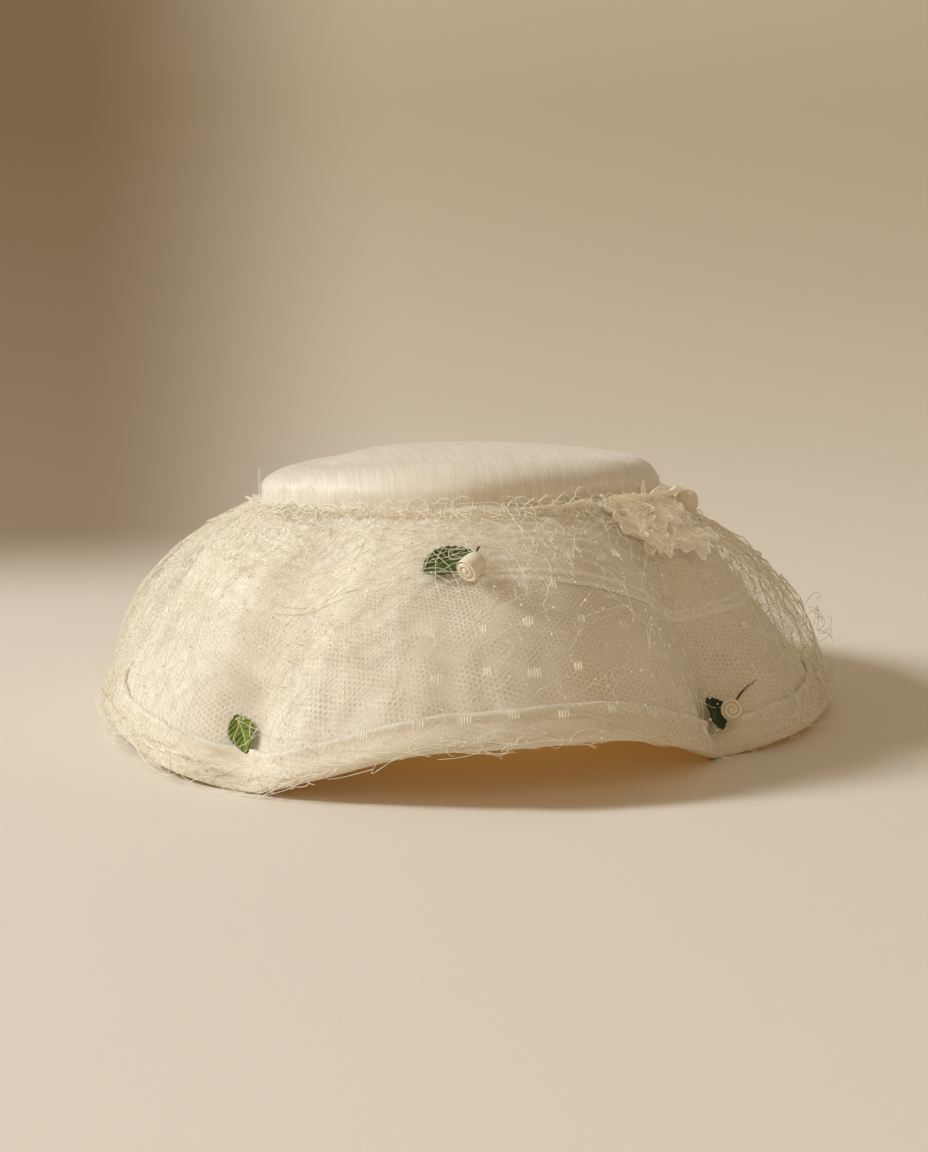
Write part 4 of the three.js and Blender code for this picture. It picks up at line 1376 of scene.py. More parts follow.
@dataclass(frozen=True)
class Ruffle:
    """The crumpled tulle petals sewn over one another at the foot of the crown, on the right."""

    shape: HatShape
    petals: int = 19
    azimuths: tuple[float, float] = (33.0, 53.0)
    downs: tuple[float, float] = (0.02, 0.34)
    sizes: tuple[float, float] = (0.009, 0.0155)
    rises: tuple[float, float] = (0.0015, 0.0065)
    thread: float = 0.00022
    crumple: float = 0.0012
    cut: float = 0.02

    def petal(self, rng: np.random.Generator, index: int) -> tuple[Array, Array]:
        """One petal.

        Args:
            rng: What its places and creases are drawn from.
            index: Its place in the row.

        Returns:
            Its grid of points, and how much of a crease each is.
        """
        share = index / (self.petals - 1)
        azimuth = self.azimuths[0] + (self.azimuths[1] - self.azimuths[0]) * share + rng.uniform(-3, 3)
        down = self.downs[0] + (self.downs[1] - self.downs[0]) * rng.random()
        size = rng.uniform(*self.sizes)
        seat = Seat(self.shape, azimuth, down, On.SCARF)
        spread = np.linspace(-1.9, 1.9, 61)[:, None] + rng.uniform(-0.9, 0.9) - math.pi / 2
        reach = np.linspace(0.05, 1, 22)[None, :]
        waves = [
            (rng.integers(3, 8), rng.uniform(0, 6.28), rng.uniform(0.5, 1), rng.uniform(-2.5, 2.5))
            for _ in range(4)
        ]
        crumple = 0.0
        for count, phase, height, twist in waves:
            crumple = crumple + height * (1 - 2 * np.abs(np.sin(spread * count / 2 + phase + twist * reach)))
        edge = size * (1 + 0.14 * np.sin(spread * 5 + waves[0][1]) + 0.1 * np.sin(spread * 11 + waves[1][1]))
        u = np.cos(spread) * edge * reach
        v = np.sin(spread) * edge * reach * 0.8 + size * 0.45
        rise = rng.uniform(*self.rises) * (0.25 + reach**1.2) + crumple * self.crumple * reach
        # Painted highlight and glow on the crests of the crumples and along the rim.
        painted_crease_light = np.clip(crumple / 2.2, 0, 1) ** 3 * reach
        painted_crease_light = np.clip(painted_crease_light + smoothstep(0.93, 1, reach) * 0.7, 0, 1)
        return seat.at(u, v, np.maximum(rise, SEAM_GAP)), painted_crease_light

    def build(
        self, maker: "ThreadMaker", finish: bpy.types.Material, thread: bpy.types.Material,
    ) -> list[bpy.types.Object]:
        """Builds the petals, and the thread along their edges.

        Args:
            maker: What turns graphs into threads.
            finish: The tulle's material.
            thread: The edge's material.

        Returns:
            The pieces.
        """
        rng = np.random.default_rng(57)
        pieces, rims, pairs, start = [], [], [], 0
        for index in range(self.petals):
            points, painted_crease_light = self.petal(rng, index)
            rows, columns = points.shape[:2]
            size = np.linalg.norm(points[rows // 2, -1] - points[rows // 2, 0])
            uv = (np.linspace(0, 3 * size, rows), np.linspace(0, size, columns))
            pieces.append(grid_object(f"petal_{index + 1}", points, uv, crest=painted_crease_light))
            rims.append(points[:, -1])
            pairs.append(np.stack([np.arange(rows - 1), np.arange(1, rows)], 1) + start)
            start += rows
        petals = join("ruffle", pieces)
        finish_piece(petals, finish, "tulle")
        rim = np.concatenate(rims)
        graph = Threads(rim, np.concatenate(pairs), np.zeros(len(rim)))
        edges = maker.make("ruffle_edges", graph, thread, self.thread)
        finish_piece(edges, thread, "tulle")
        return [petals, edges]


class Tack(NamedTuple):
    """A place where a sprig sews the veil's film down to the cloth under it."""

    azimuth: float
    down: float
    height: float
    pinched: float


class NetPlan(NamedTuple):
    """One of the veil's knotted nets, with uneven diamonds for cells.

    It has this many knots round the hat and rows of cells down the slope, and follows a share of the
    veil's bulge. A knot strays by the jitter, in shares of a cell. A share of the threads is skipped, and
    of those at the lower front another one. The pull turns the net's foot round the hat, in degrees.
    """

    name: str
    columns: int
    rows: int
    share: float
    jitter: float
    seed: int
    skip: float
    pull: float
    front: float
    radius: float
    knot: float
    unevenness: float
    thread_seed: int
    right_only: bool = False


NETS = (
    NetPlan("veil_net", 74, 12, 0.72, 0.24, 71, 0.08, -14.0, 0.6, 0.00013, 0.0004, 0.2, 2),
    NetPlan("veil_net_inner", 44, 18, 0.52, 0.36, 75, 0.25, 40.0, 0.5, 0.0001105, 0.00028, 0.2, 3),
    NetPlan("veil_cords", 76, 12, 0.75, 0.17, 77, 0.18, 12.0, 1.0, 0.0003, 0.00052, 0.35, 5, True),
)


class Fray(NamedTuple):
    """A drift of frayed loops and ends.

    It has this many loops, which start within ranges of azimuth and of shares of the slope. Their length and
    how far they stand out have ranges too. They sway up and down the slope by a share of their length.
    """

    count: int
    where: tuple[float, float]
    down: tuple[float, float]
    length: tuple[float, float]
    out: tuple[float, float]
    seed: int
    sway: float


FRAYS = (
    Fray(52, (-60, 80), (0.0, 0.09), (0.01, 0.028), (0.001, 0.004), 81, 0.45),
    Fray(44, (-36, 36), (0.985, 1.005), (0.014, 0.032), (0.0005, 0.002), 82, 0.1),
    Fray(80, (-125, -42), (0.95, 1.0), (0.014, 0.034), (0.001, 0.007), 83, 0.12),
    Fray(60, (44, 125), (0.95, 1.0), (0.014, 0.034), (0.001, 0.006), 84, 0.12),
    Fray(60, (125, 235), (0.95, 1.0), (0.016, 0.036), (0.001, 0.004), 85, 0.12),
    Fray(40, (80, 285), (0.0, 0.06), (0.01, 0.024), (0.0005, 0.0025), 86, 0.3),
    Fray(70, (-75, 30), (0.03, 0.36), (0.01, 0.03), (0.0005, 0.003), 87, 0.25),
    Fray(9, (84, 92), (0.72, 0.86), (0.004, 0.009), (0.003, 0.009), 88, 0.3),
    Fray(110, (-115, -12), (0.06, 0.85), (0.03, 0.07), (0.0003, 0.0012), 89, 0.28),
    Fray(26, (-112, -52), (0.9, 0.98), (0.03, 0.06), (0.0003, 0.0012), 90, 0.03),
)
FOOT_FRAY = Fray(26, (-72, -40), (0.0, 0.05), (0.005, 0.012), (0.0006, 0.003), 95, 0.6)


class Garland(NamedTuple):
    """A thread that curls along the foot of the crown between two azimuths, and the height of its curls."""

    where: tuple[float, float]
    curls: int
    size: float
    seed: int


GARLANDS = (
    Garland((2.0, 33.0), 6, 0.0058, 92),
    Garland((5.0, 36.0), 8, 0.0036, 93),
    Garland((-44.0, -6.0), 7, 0.0042, 94),
)


@dataclass(frozen=True)
class Veil:
    """The net veil: a film of fine tulle, three coarse nets of knotted thread, and frayed ends."""

    shape: HatShape
    standoff: float = 0.009
    sag: float = 1.5
    top_offset: float = 0.0042
    foot_offset: float = 0.0033
    top: float = 0.02
    foot: float = 0.985
    thread_radius: float = 0.00013
    knot_radius: float = 0.0004
    curl_radius: float = 0.00025
    film_share: float = 0.55
    left_bare: float = 0.82
    climb: float = 0.011
    sides: int = 360
    mean_radius: float = 0.15
    cut: float = 0.12
    net_pinched: float = 0.3
    net_clearance: float = 0.0006
    loop_steps: int = 15
    lowest_loop: float = 1.035
    tack_core: float = 0.011
    tack_reach: float = 0.03
    tacks: tuple[Tack, ...] = (
        Tack(-42, 0.86, 0.0008, 1.0),
        Tack(-8.5, 0.355, 0.0032, 1.0),
        Tack(42.5, 0.87, 0.0008, 0.4),
        Tack(76, 0.1, 0.0032, 1.0),
    )

    def offset(self, azimuth: Array, down: Array, share: float = 1.0) -> Array:
        """How far the veil stands off the brim.

        Args:
            azimuth: Azimuths in degrees.
            down: Shares of the slope.
            share: The share of the veil's own bulge.

        Returns:
            The offsets in metres.
        """
        middle = around(VEIL_STANDOFF, "share", azimuth) * self.standoff * share
        bulge = middle * np.sin(math.pi * np.clip(down, 0, 1) ** self.sag)
        return self.top_offset * (1 - down**2) + bulge + self.foot_offset * down**2

    def film(self, finish: bpy.types.Material) -> bpy.types.Object:
        """Builds the veil's film of fine tulle, gathered in soft folds from the crown.

        Args:
            finish: The film's material.

        Returns:
            The film.
        """
        s = self.shape
        azimuth = (np.arange(self.sides) * 360 / self.sides - 180)[:, None]
        down = np.linspace(self.top, self.foot, 44)[None, :]
        gathers = Ripples(61, (14, 44), (0, 0.8), 22).at(azimuth, down)
        creases = 1 - np.abs(Ripples(62, (6, 26), (1.5, 4.5), 18).at(azimuth, down)) * 2.2
        free = np.ones(gathers.shape)
        held = np.zeros(gathers.shape)
        pinched = np.full(gathers.shape, self.net_pinched)
        for tack in self.tacks:
            round_ = (azimuth - tack.azimuth) * s.per_degree(tack.azimuth, tack.down)
            along = (down - tack.down) * s.per_share(tack.azimuth, tack.down)
            near = 1 - smoothstep(self.tack_core, self.tack_reach, np.hypot(round_, along))
            free = free * (1 - near)
            held = held + near * tack.height
            pinched = pinched + near * (tack.pinched - pinched)
        room = np.minimum(self.offset(azimuth, down) * 0.22, 0.0016)
        loose = self.offset(azimuth, down, self.film_share) + gathers * room
        loose = loose + np.clip(creases, 0, 1) * room * 0.5
        points = s.off(azimuth, down, loose * free + held, pinched)
        climb = self.climb * (1 + 0.3 * Ripples(63, (4, 30), (0, 0)).at(azimuth, 0.0))
        up = np.array([[1.0, 0.7, 0.4, 0.15]])
        on_crown = s.crown(azimuth, -0.0007 - 0.0004 * (1 + gathers[:, :4]), 0.0003 + climb * up)
        points = np.concatenate([on_crown, points], 1)
        u = np.radians(np.arange(self.sides + 1) * 360 / self.sides) * self.mean_radius
        v = np.concatenate([-up[0] * self.climb - 0.003, down[0] * self.cut])
        # Painted highlight on the creases and along the foot. The finish also makes the tulle a little denser
        # there.
        crest = np.clip(creases, 0, 1) ** 3 * 0.8 + smoothstep(0.97, 1, down) * 0.3
        crest = np.concatenate([np.zeros((self.sides, 4)), np.clip(crest, 0, 1)], 1)
        item = grid_object("veil_film", points, (u, v), (True, False), crest)
        finish_piece(item, finish, "net")
        return item

    def net(self, plan: NetPlan) -> Threads:
        """The graph of one of the veil's nets.

        Args:
            plan: How the net is laid out.

        Returns:
            The graph.
        """
        rng = np.random.default_rng(plan.seed)
        columns, rows = plan.columns, plan.rows
        shape = (rows + 1, columns)
        width = 360 / columns
        row = np.arange(rows + 1)[:, None]
        column = np.arange(columns)[None, :]
        azimuth = (column + 0.5 * (row % 2)) * width - 180 + rng.normal(0, plan.jitter, shape) * width
        drift = Ripples(plan.seed + 1, (3, 9), (0.5, 1.5)).at(azimuth, row / rows)
        azimuth = azimuth + 5 * drift + plan.pull * row / rows
        down = self.top + (self.foot - self.top) * (row + rng.normal(0, plan.jitter, shape)) / rows
        swag = Ripples(plan.seed + 2, (4, 12), (0.5, 2)).at(azimuth, row / rows)
        down = down + 0.03 * swag * np.sin(math.pi * row / rows)
        down = np.clip(down, self.top * 0.5, self.foot + 0.01)
        lifts = rng.normal(0, 0.0006, shape)
        knots_at = np.stack([azimuth.ravel(), down.ravel(), lifts.ravel()], 1)
        ends = []
        for r in range(rows):
            for c in range(columns):
                below = (c - 1 + r % 2) % columns
                turned = (azimuth[r, c] + 180) % 360 - 180
                if plan.right_only and -150 < turned < 76:
                    continue
                lower_front = r > rows * 0.45 and abs(turned) < 60
                bare = plan.front if lower_front else self.left_bare * float(-150 < turned < -20)
                for d in (below, (below + 1) % columns):
                    if rng.random() > plan.skip + bare:
                        ends.append((r * columns + c, (r + 1) * columns + d))
        ends = np.array(ends)
        start, stop = knots_at[ends[:, 0]], knots_at[ends[:, 1]].copy()
        stop[:, 0] -= 360 * np.round((stop[:, 0] - start[:, 0]) / 360)
        steps, base, count = 5, len(knots_at), len(ends)
        points = [knots_at]
        bow = rng.normal(0, 1, (count, 3)) * np.array([width * 0.09, 0.008, 0.0006])
        for k in range(1, steps):
            t = k / steps
            kink = rng.normal(0, 1, (count, 3)) * np.array([width * 0.035, 0.0025, 0.0003])
            points.append(start + (stop - start) * t + bow * math.sin(math.pi * t) + kink)
        first = base + np.arange(count)
        pairs = [np.stack([ends[:, 0], first], 1)]
        pairs += [np.stack([first + k * count, first + (k + 1) * count], 1) for k in range(steps - 2)]
        pairs.append(np.stack([first + (steps - 2) * count, ends[:, 1]], 1))
        flat = np.concatenate(points)
        offset = self.offset(flat[:, 0], flat[:, 1], plan.share) + self.net_clearance + flat[:, 2]
        placed = self.shape.off(flat[:, 0], flat[:, 1], offset, self.net_pinched)
        placed[:, 2] = np.maximum(placed[:, 2], 2 * self.thread_radius)
        knots = np.zeros(len(flat))
        knots[:base] = rng.uniform(0.55, 1.3, base)
        return Threads(placed, np.concatenate(pairs), knots)

    def loops(self, fray: Fray) -> Threads:
        """The graph of a drift of frayed loops and ends of thread.

        Args:
            fray: How many there are, and where and how they lie.

        Returns:
            The graph.
        """
        rng = np.random.default_rng(fray.seed)
        s, steps = self.shape, self.loop_steps
        t = np.linspace(0, 1, steps)
        points, pairs = [], []
        for _ in range(fray.count):
            azimuth, place = rng.uniform(*fray.where), rng.uniform(*fray.down)
            degree, share = s.per_degree(azimuth, place), s.per_share(azimuth, place)
            reach = rng.uniform(*fray.length) / degree * rng.choice((-1, 1))
            fall = rng.uniform(*fray.length) * rng.uniform(-1, 1) * fray.sway / share
            stand = rng.uniform(*fray.out)
            turns = rng.uniform(0.5, 1.3, 2)
            phases = rng.uniform(0, 2 * math.pi, 2)
            a = azimuth + reach * (t + 0.28 * np.sin(2 * math.pi * turns[0] * t + phases[0]))
            swing = fray.sway * rng.uniform(*fray.length) / share
            d = place + fall * t + swing * np.sin(2 * math.pi * turns[1] * t + phases[1])
            d = np.clip(d, 0.0, self.lowest_loop)
            offset = self.offset(a, np.minimum(d, 1)) + stand * np.sin(math.pi * t * rng.uniform(0.6, 1.0))
            points.append(s.off(a, d, offset, self.net_pinched))
            first = len(points) * steps - steps
            pairs.append(np.stack([first + np.arange(steps - 1), first + np.arange(1, steps)], 1))
        flat = np.concatenate(points)
        flat[:, 2] = np.maximum(flat[:, 2], 2 * self.thread_radius)
        knots = np.where(rng.random(len(flat)) < 0.06, 0.8, 0.0)
        return Threads(flat, np.concatenate(pairs), knots)

    def garland(self, plan: Garland) -> Threads:
        """The graph of a thread that curls along the foot of the crown.

        Args:
            plan: Where it runs, and its curls.

        Returns:
            The graph.
        """
        where, size, seed = plan.where, plan.size, plan.seed
        steps = plan.curls * 14
        t = np.linspace(0, 1, steps)
        uneven = Ripples(seed, (0, 0), (3, 9)).at(0.0, t)
        turn = 2 * math.pi * (plan.curls * t + 0.35 * uneven)
        grown = size * (0.75 + 0.4 * Ripples(seed + 1, (0, 0), (4, 12)).at(0.0, t))
        sideways = grown * 0.85 * np.sin(turn) / self.shape.per_degree(sum(where) / 2, 0.0)
        azimuth = where[0] + (where[1] - where[0]) * t + sideways
        up = 0.0045 + 0.0015 * Ripples(seed + 2, (0, 0), (1, 5)).at(0.0, t) + grown * np.cos(turn)
        inset = np.full(steps, -0.0022) - 0.001 * (uneven + 1)
        points = self.shape.crown(azimuth, inset, np.maximum(up, 0.0005))
        pairs = np.stack([np.arange(steps - 1), np.arange(1, steps)], 1)
        knots = np.where(np.arange(steps) % 28 == 9, 1.3, 0.0)
        return Threads(points, pairs, knots)

    def build(
        self, maker: ThreadMaker, film: bpy.types.Material, thread: bpy.types.Material,
    ) -> list[bpy.types.Object]:
        """Builds the veil's pieces.

        Args:
            maker: What turns graphs into threads.
            film: The film's material.
            thread: The thread's material.

        Returns:
            The pieces.
        """
        pieces = [self.film(film)]
        for plan in NETS:
            net = maker.make(
                plan.name, self.net(plan), thread, plan.radius, plan.knot, plan.unevenness,
                seed=plan.thread_seed,
            )
            finish_piece(net, thread, "net", *(("veil",) if plan is NETS[0] else ()))
            pieces.append(net)
        fringe = reduce(Threads.joined, [self.loops(fray) for fray in FRAYS])
        curls = reduce(Threads.joined, [*map(self.garland, GARLANDS), self.loops(FOOT_FRAY)])
        for name, graph, radius, seed in (
            ("veil_fringe", fringe, self.thread_radius, 4),
            ("foot_curls", curls, self.curl_radius, 6),
        ):
            ends = maker.make(name, graph, thread, radius, self.knot_radius, seed=seed)
            finish_piece(ends, thread, "net")
            pieces.append(ends)
        return pieces


@dataclass(frozen=True)
class Dots:
    """The tulle's woven dots: small groups of upright dashes."""

    shape: HatShape
    pitch: float = 0.019
    dash: float = 0.0034
    spacing: float = 0.0012
    radius: float = 0.0004
    clear: float = 0.024
    on_brim: float = 0.0006
    on_scarf: float = 0.003
    on_hem: float = 0.003

    def build(
        self, maker: ThreadMaker, material: bpy.types.Material, tacks: Sequence[Tack],
    ) -> bpy.types.Object:
        """Builds every dot on the brim, clear of the sprigs.

        Args:
            maker: What turns graphs into threads.
            material: The dots' thread.
            tacks: Where the sprigs are.

        Returns:
            The dots.
        """
        s = self.shape
        rng = np.random.default_rng(91)
        points, pairs = [], []
        for row, down in enumerate(np.arange(0.3, 0.99, 0.155)):
            round_ = math.radians(360) * float(np.hypot(*s.slope(90.0, down)[:2]))
            count = int(round_ / self.pitch)
            for i in range(count):
                azimuth = (i + 0.5 * (row % 2) + rng.uniform(-0.12, 0.12)) * 360 / count - 180
                place = down + rng.uniform(-0.02, 0.02)
                dashes = rng.integers(2, 6)
                degree, share = s.per_degree(azimuth, place), s.per_share(azimuth, place)
                away = [math.hypot((azimuth - t.azimuth) * degree, (place - t.down) * share) for t in tacks]
                if min(away) < self.clear:
                    continue
                for k in range(dashes):
                    a = azimuth + (k - dashes / 2) * self.spacing / degree
                    half = self.dash * rng.uniform(0.35, 0.6) / share
                    reach = np.array([place - half, place + half])
                    fold = around(SCARF_FOLD, "share", np.array(a))
                    height = self.on_scarf if place < fold + 0.02 else self.on_brim
                    height = self.on_hem if place > 0.87 else height
                    ends = s.off(np.array([a, a]), reach, np.array([height, height]))
                    pairs.append((len(points), len(points) + 1))
                    points += ends.tolist()
        threads = Threads(np.array(points), np.array(pairs), np.zeros(len(points)))
        item = maker.make("tulle_dots", threads, material, self.radius, unevenness=0.15)
        finish_piece(item, material, "tulle")
        item.visible_shadow = False
        return item


class On(Enum):
    """What a sprig is sewn on."""

    SCARF = "scarf"
    BRIM = "brim"


@dataclass(frozen=True)
class Seat:
    """A place on the hat's cloth, round which a sprig is laid out in metres."""

    shape: HatShape
    azimuth: float
    down: float
    on: On
    pinched: float = 1.0

    def at(self, u: Array, v: Array, rise: Array) -> Array:
        """Points on the cloth round the seat.

        Args:
            u: Distances round the brim.
            v: Distances up its slope.
            rise: Distances off the cloth.

        Returns:
            The points.
        """
        s = self.shape
        a = self.azimuth + u / s.per_degree(self.azimuth, self.down)
        d = self.down - v / s.per_share(self.azimuth, self.down)
        hem_top = s.down_at(a, np.full(np.shape(a), 0.013))
        hem = 0.0015 * smoothstep(-0.07, -0.02, d - hem_top)
        top = np.full(np.shape(a), 0.0034) if self.on is On.SCARF else hem + 0.0007
        return s.off(a, d, top + 0.0006 + rise, self.pinched)

    def axes(self) -> Matrix:
        """The turn of the seat's own frame.

        Returns:
            A matrix whose x runs round the brim, y up its slope and z out of it.
        """
        z = Vector(self.shape.normal(np.array(self.azimuth), np.array(self.down), 0))
        x = Vector((0, 0, 1)).cross(z).normalized()
        return Matrix((x, z.cross(x), z)).transposed()


@dataclass(frozen=True)
class Leaf:
    """A small cloth leaf with a toothed edge, folded a little along its midrib."""

    name: str
    seat: Seat
    turn: float
    length: float
    width: float
    lift: float = 0.0
    fold: float = 0.0011
    teeth: int = 9

    def build(self, finish: bpy.types.Material) -> bpy.types.Object:
        """Builds the leaf on its seat.

        Args:
            finish: The leaf's material.

        Returns:
            The leaf.
        """
        t = np.linspace(0, 1, 73)[:, None]
        side = np.linspace(-1, 1, 25)[None, :]
        saw = (t * self.teeth) % 1.0
        tooth = 1 + 0.09 * (saw - 0.5) * np.clip(np.abs(side) * 3 - 2, 0, 1)
        spread = self.width / 2 * tooth * (0.03 + 0.99 * np.sin(math.pi * t**0.85) ** 0.8)
        x = (t - 0.5) * self.length + 0 * side
        y = side * spread
        quilt = 0.00025 * np.sin(2 * math.pi * (t - np.abs(side) * 0.2) / 0.13) * np.abs(side) ** 0.5
        rise = self.fold * np.abs(side) * np.sin(math.pi * t) ** 0.5 + quilt + self.lift + 0.0002
        cos, sin = math.cos(math.radians(self.turn)), math.sin(math.radians(self.turn))
        points = self.seat.at(x * cos - y * sin, x * sin + y * cos, rise)
        item = grid_object(self.name, points, (t[:, 0], (side[0] + 1) / 2))
        thicken(item, 0.0005, 1)
        finish_piece(item, finish, "leaf", self.name.replace("cloth_", ""))
        return item


@dataclass(frozen=True)
class Bud:
    """A bud rolled from ribbon: a round back, a short barrel and a spiral face."""

    name: str
    seat: Seat
    lean: tuple[float, float]
    radius: float = 0.0048
    depth: float = 0.0086
    turns: float = 2.6
    flare: float = 1.0
    sides: int = 64

    def build(self, finish: bpy.types.Material) -> bpy.types.Object:
        """Builds the bud, with painted shade in each fold of its roll.

        Args:
            finish: The ribbon's material.

        Returns:
            The bud.
        """
        theta = np.radians(np.arange(self.sides) * 360 / self.sides)[:, None]
        turn = theta / (2 * math.pi)
        lap = 1 + 0.05 * (turn - 0.5)
        front = self.depth - self.radius
        back = np.radians(np.linspace(-88, 0, 9))[None, :]
        back_r = self.radius * np.cos(back) * (lap * 0.5 + 0.5)
        back_z = self.radius * np.sin(back) + 0 * theta
        barrel = np.linspace(0.25, 1, 4)[None, :]
        barrel_r = self.radius * lap * (1 + (self.flare - 1) * barrel)
        barrel_z = front * barrel + 0 * theta
        share = np.linspace(0.97, 0.04, 42)[None, :]
        spiral = np.cos(2 * math.pi * (share * self.turns - turn))
        groove = np.clip(0.5 - 0.5 * spiral, 0, 1) ** 4
        face_r = self.radius * lap * self.flare * share
        face_z = front * (1.0 + 0.1 * (1 - share)) - 0.0009 * groove * np.clip(share * 3, 0, 1) + 0.0002
        r = np.concatenate([back_r, barrel_r, face_r], 1)
        z = np.concatenate([back_z, barrel_z, face_z], 1)
        seam = 0.5 * np.exp(-((turn / 0.02) ** 2))
        # Painted shade in the grooves of the spiral face. The back is also a little darker, and so is a line
        # along the ribbon's seam.
        shade = np.concatenate([0 * back_r + 0.1 + seam, 0 * barrel_r + seam, groove * 0.45 + 0 * face_r], 1)
        local = np.stack([r * np.cos(theta), r * np.sin(theta), z], -1)
        over, aside = [math.radians(degrees) for degrees in self.lean]
        tilt = Matrix.Rotation(over, 3, "X") @ Matrix.Rotation(aside, 3, "Y")
        turned = local @ np.array(self.seat.axes() @ tilt).T
        middle = self.seat.at(np.zeros(1), np.zeros(1), np.array([self.radius - 0.0006]))[0]
        item = grid_object(self.name, turned + middle, closed=(True, False), crest=shade)
        self.cap(item)
        finish_piece(item, finish, "bud", self.name.replace("rolled_", ""))
        return item

    @staticmethod
    def cap(item: bpy.types.Object) -> None:
        """Closes the two small holes at the poles.

        Args:
            item: The bud.
        """
        bm = bmesh.new()
        bm.from_mesh(item.data)
        bmesh.ops.holes_fill(bm, edges=bm.edges)
        bmesh.ops.recalc_face_normals(bm, faces=bm.faces)
        bm.to_mesh(item.data)
        bm.free()


@dataclass(frozen=True)
class Stem:
    """A short curled wire stem beside a bud."""

    name: str
    seat: Seat
    turn: float
    length: float
    start: float = 0.0045
    radius: float = 0.0005

    def build(self, maker: ThreadMaker, finish: bpy.types.Material) -> bpy.types.Object:
        """Builds the stem.

        Args:
            maker: What turns graphs into threads.
            finish: The wire's material.

        Returns:
            The stem.
        """
        t = np.linspace(0, 1, 15)
        x = self.start + t * self.length
        y = 0.07 * self.length * np.sin(math.pi * t) - 0.06 * self.length * t**3
        rise = self.radius + 0.24 * self.length * t**2.4
        cos, sin = math.cos(math.radians(self.turn)), math.sin(math.radians(self.turn))
        points = self.seat.at(x * cos - y * sin, x * sin + y * cos, rise)
        pairs = np.stack([np.arange(14), np.arange(1, 15)], 1)
        graph = Threads(points, pairs, np.where(t == 1, 1.0, 0.0))
        item = maker.make(self.name, graph, finish, self.radius, self.radius * 1.5, 0.12, 10)
        finish_piece(item, finish, "stem", self.name.replace("wire_", ""))
        return item


@dataclass(frozen=True)
class Sprigs:
    """The leaves, buds and stems, each on its own seat."""

    shape: HatShape

    def build(self, maker: ThreadMaker, groups: Groups) -> list[bpy.types.Object]:
        """Builds every sprig.

        Args:
            maker: What turns graphs into threads.
            groups: The shared effects.

        Returns:
            The pieces.
        """
        s = self.shape
        # Copies of one leaf cloth in three tones: cloth_leaf_left's is brighter green, painted light, and
        # cloth_leaf_right's darker green, painted shade.
        painted_lit_leaf = LeafFinish("leaf_painted_light", (0.21, 0.29, 0.03), (0.46, 0.52, 0.17)).build(groups)
        middling = LeafFinish("leaf_middling", (0.08, 0.115, 0.012), (0.2, 0.23, 0.05)).build(groups)
        dark = LeafFinish("leaf_painted_shade", (0.026, 0.05, 0.012), (0.06, 0.09, 0.028)).build(groups)
        ribbon = RibbonFinish("bud_ribbon").build(groups)
        wire = ThreadFinish("stem_wire", (0.16, 0.09, 0.035), (0.07, 0.035, 0.012)).build(groups)
        pieces = [
            Leaf("cloth_leaf_left", Seat(s, -42, 0.86, On.BRIM), -52, 0.0188, 0.0103).build(painted_lit_leaf),
            Leaf("cloth_leaf_front", Seat(s, -10, 0.335, On.SCARF), 25, 0.021, 0.013).build(middling),
            Leaf("cloth_leaf_right", Seat(s, 40.8, 0.865, On.BRIM, 0.1), 22, 0.0195, 0.0145, 0.0026)
            .build(dark),
        ]
        front = Seat(s, -5.3, 0.39, On.SCARF)
        right = Seat(s, 46, 0.88, On.BRIM)
        side = Seat(s, 76, 0.1, On.SCARF)
        pieces += [
            Bud("rolled_bud_front", front, (78, -34), depth=0.0105, turns=2.2, flare=1.04).build(ribbon),
            Bud("rolled_bud_right", right, (-4, -24)).build(ribbon),
            Bud("rolled_bud_side", side, (-30, 78), 0.0052, turns=1.8).build(ribbon),
            Stem("wire_stem_front", front, 80, 0.006).build(maker, wire),
            Stem("wire_stem_right", right, 36, 0.013).build(maker, wire),
            Stem("wire_stem_side", side, 200, 0.006).build(maker, wire),
        ]
        return pieces


class Lamp(NamedTuple):
    """A soft square light: where it stands, what it points at, its side, its watts and its colour."""

    name: str
    place: tuple[float, float, float]
    aim: tuple[float, float, float]
    size: float
    power: float
    color: Color


LAMPS = (
    Lamp("key", (-3.3, 0.35, 2.3), (0, 0, 0.05), 0.95, 200.0, (0.97, 1.01, 1.06)),
    Lamp("fill", (0.3, -2.4, 1.7), (0, 0.1, 0.1), 2.0, 12.5, (1.0, 0.79, 0.55)),
    Lamp("glow", (0, 0, 0.08), (0, -0.05, 0), 0.1, 0.036, (1.0, 0.5, 0.12)),
)


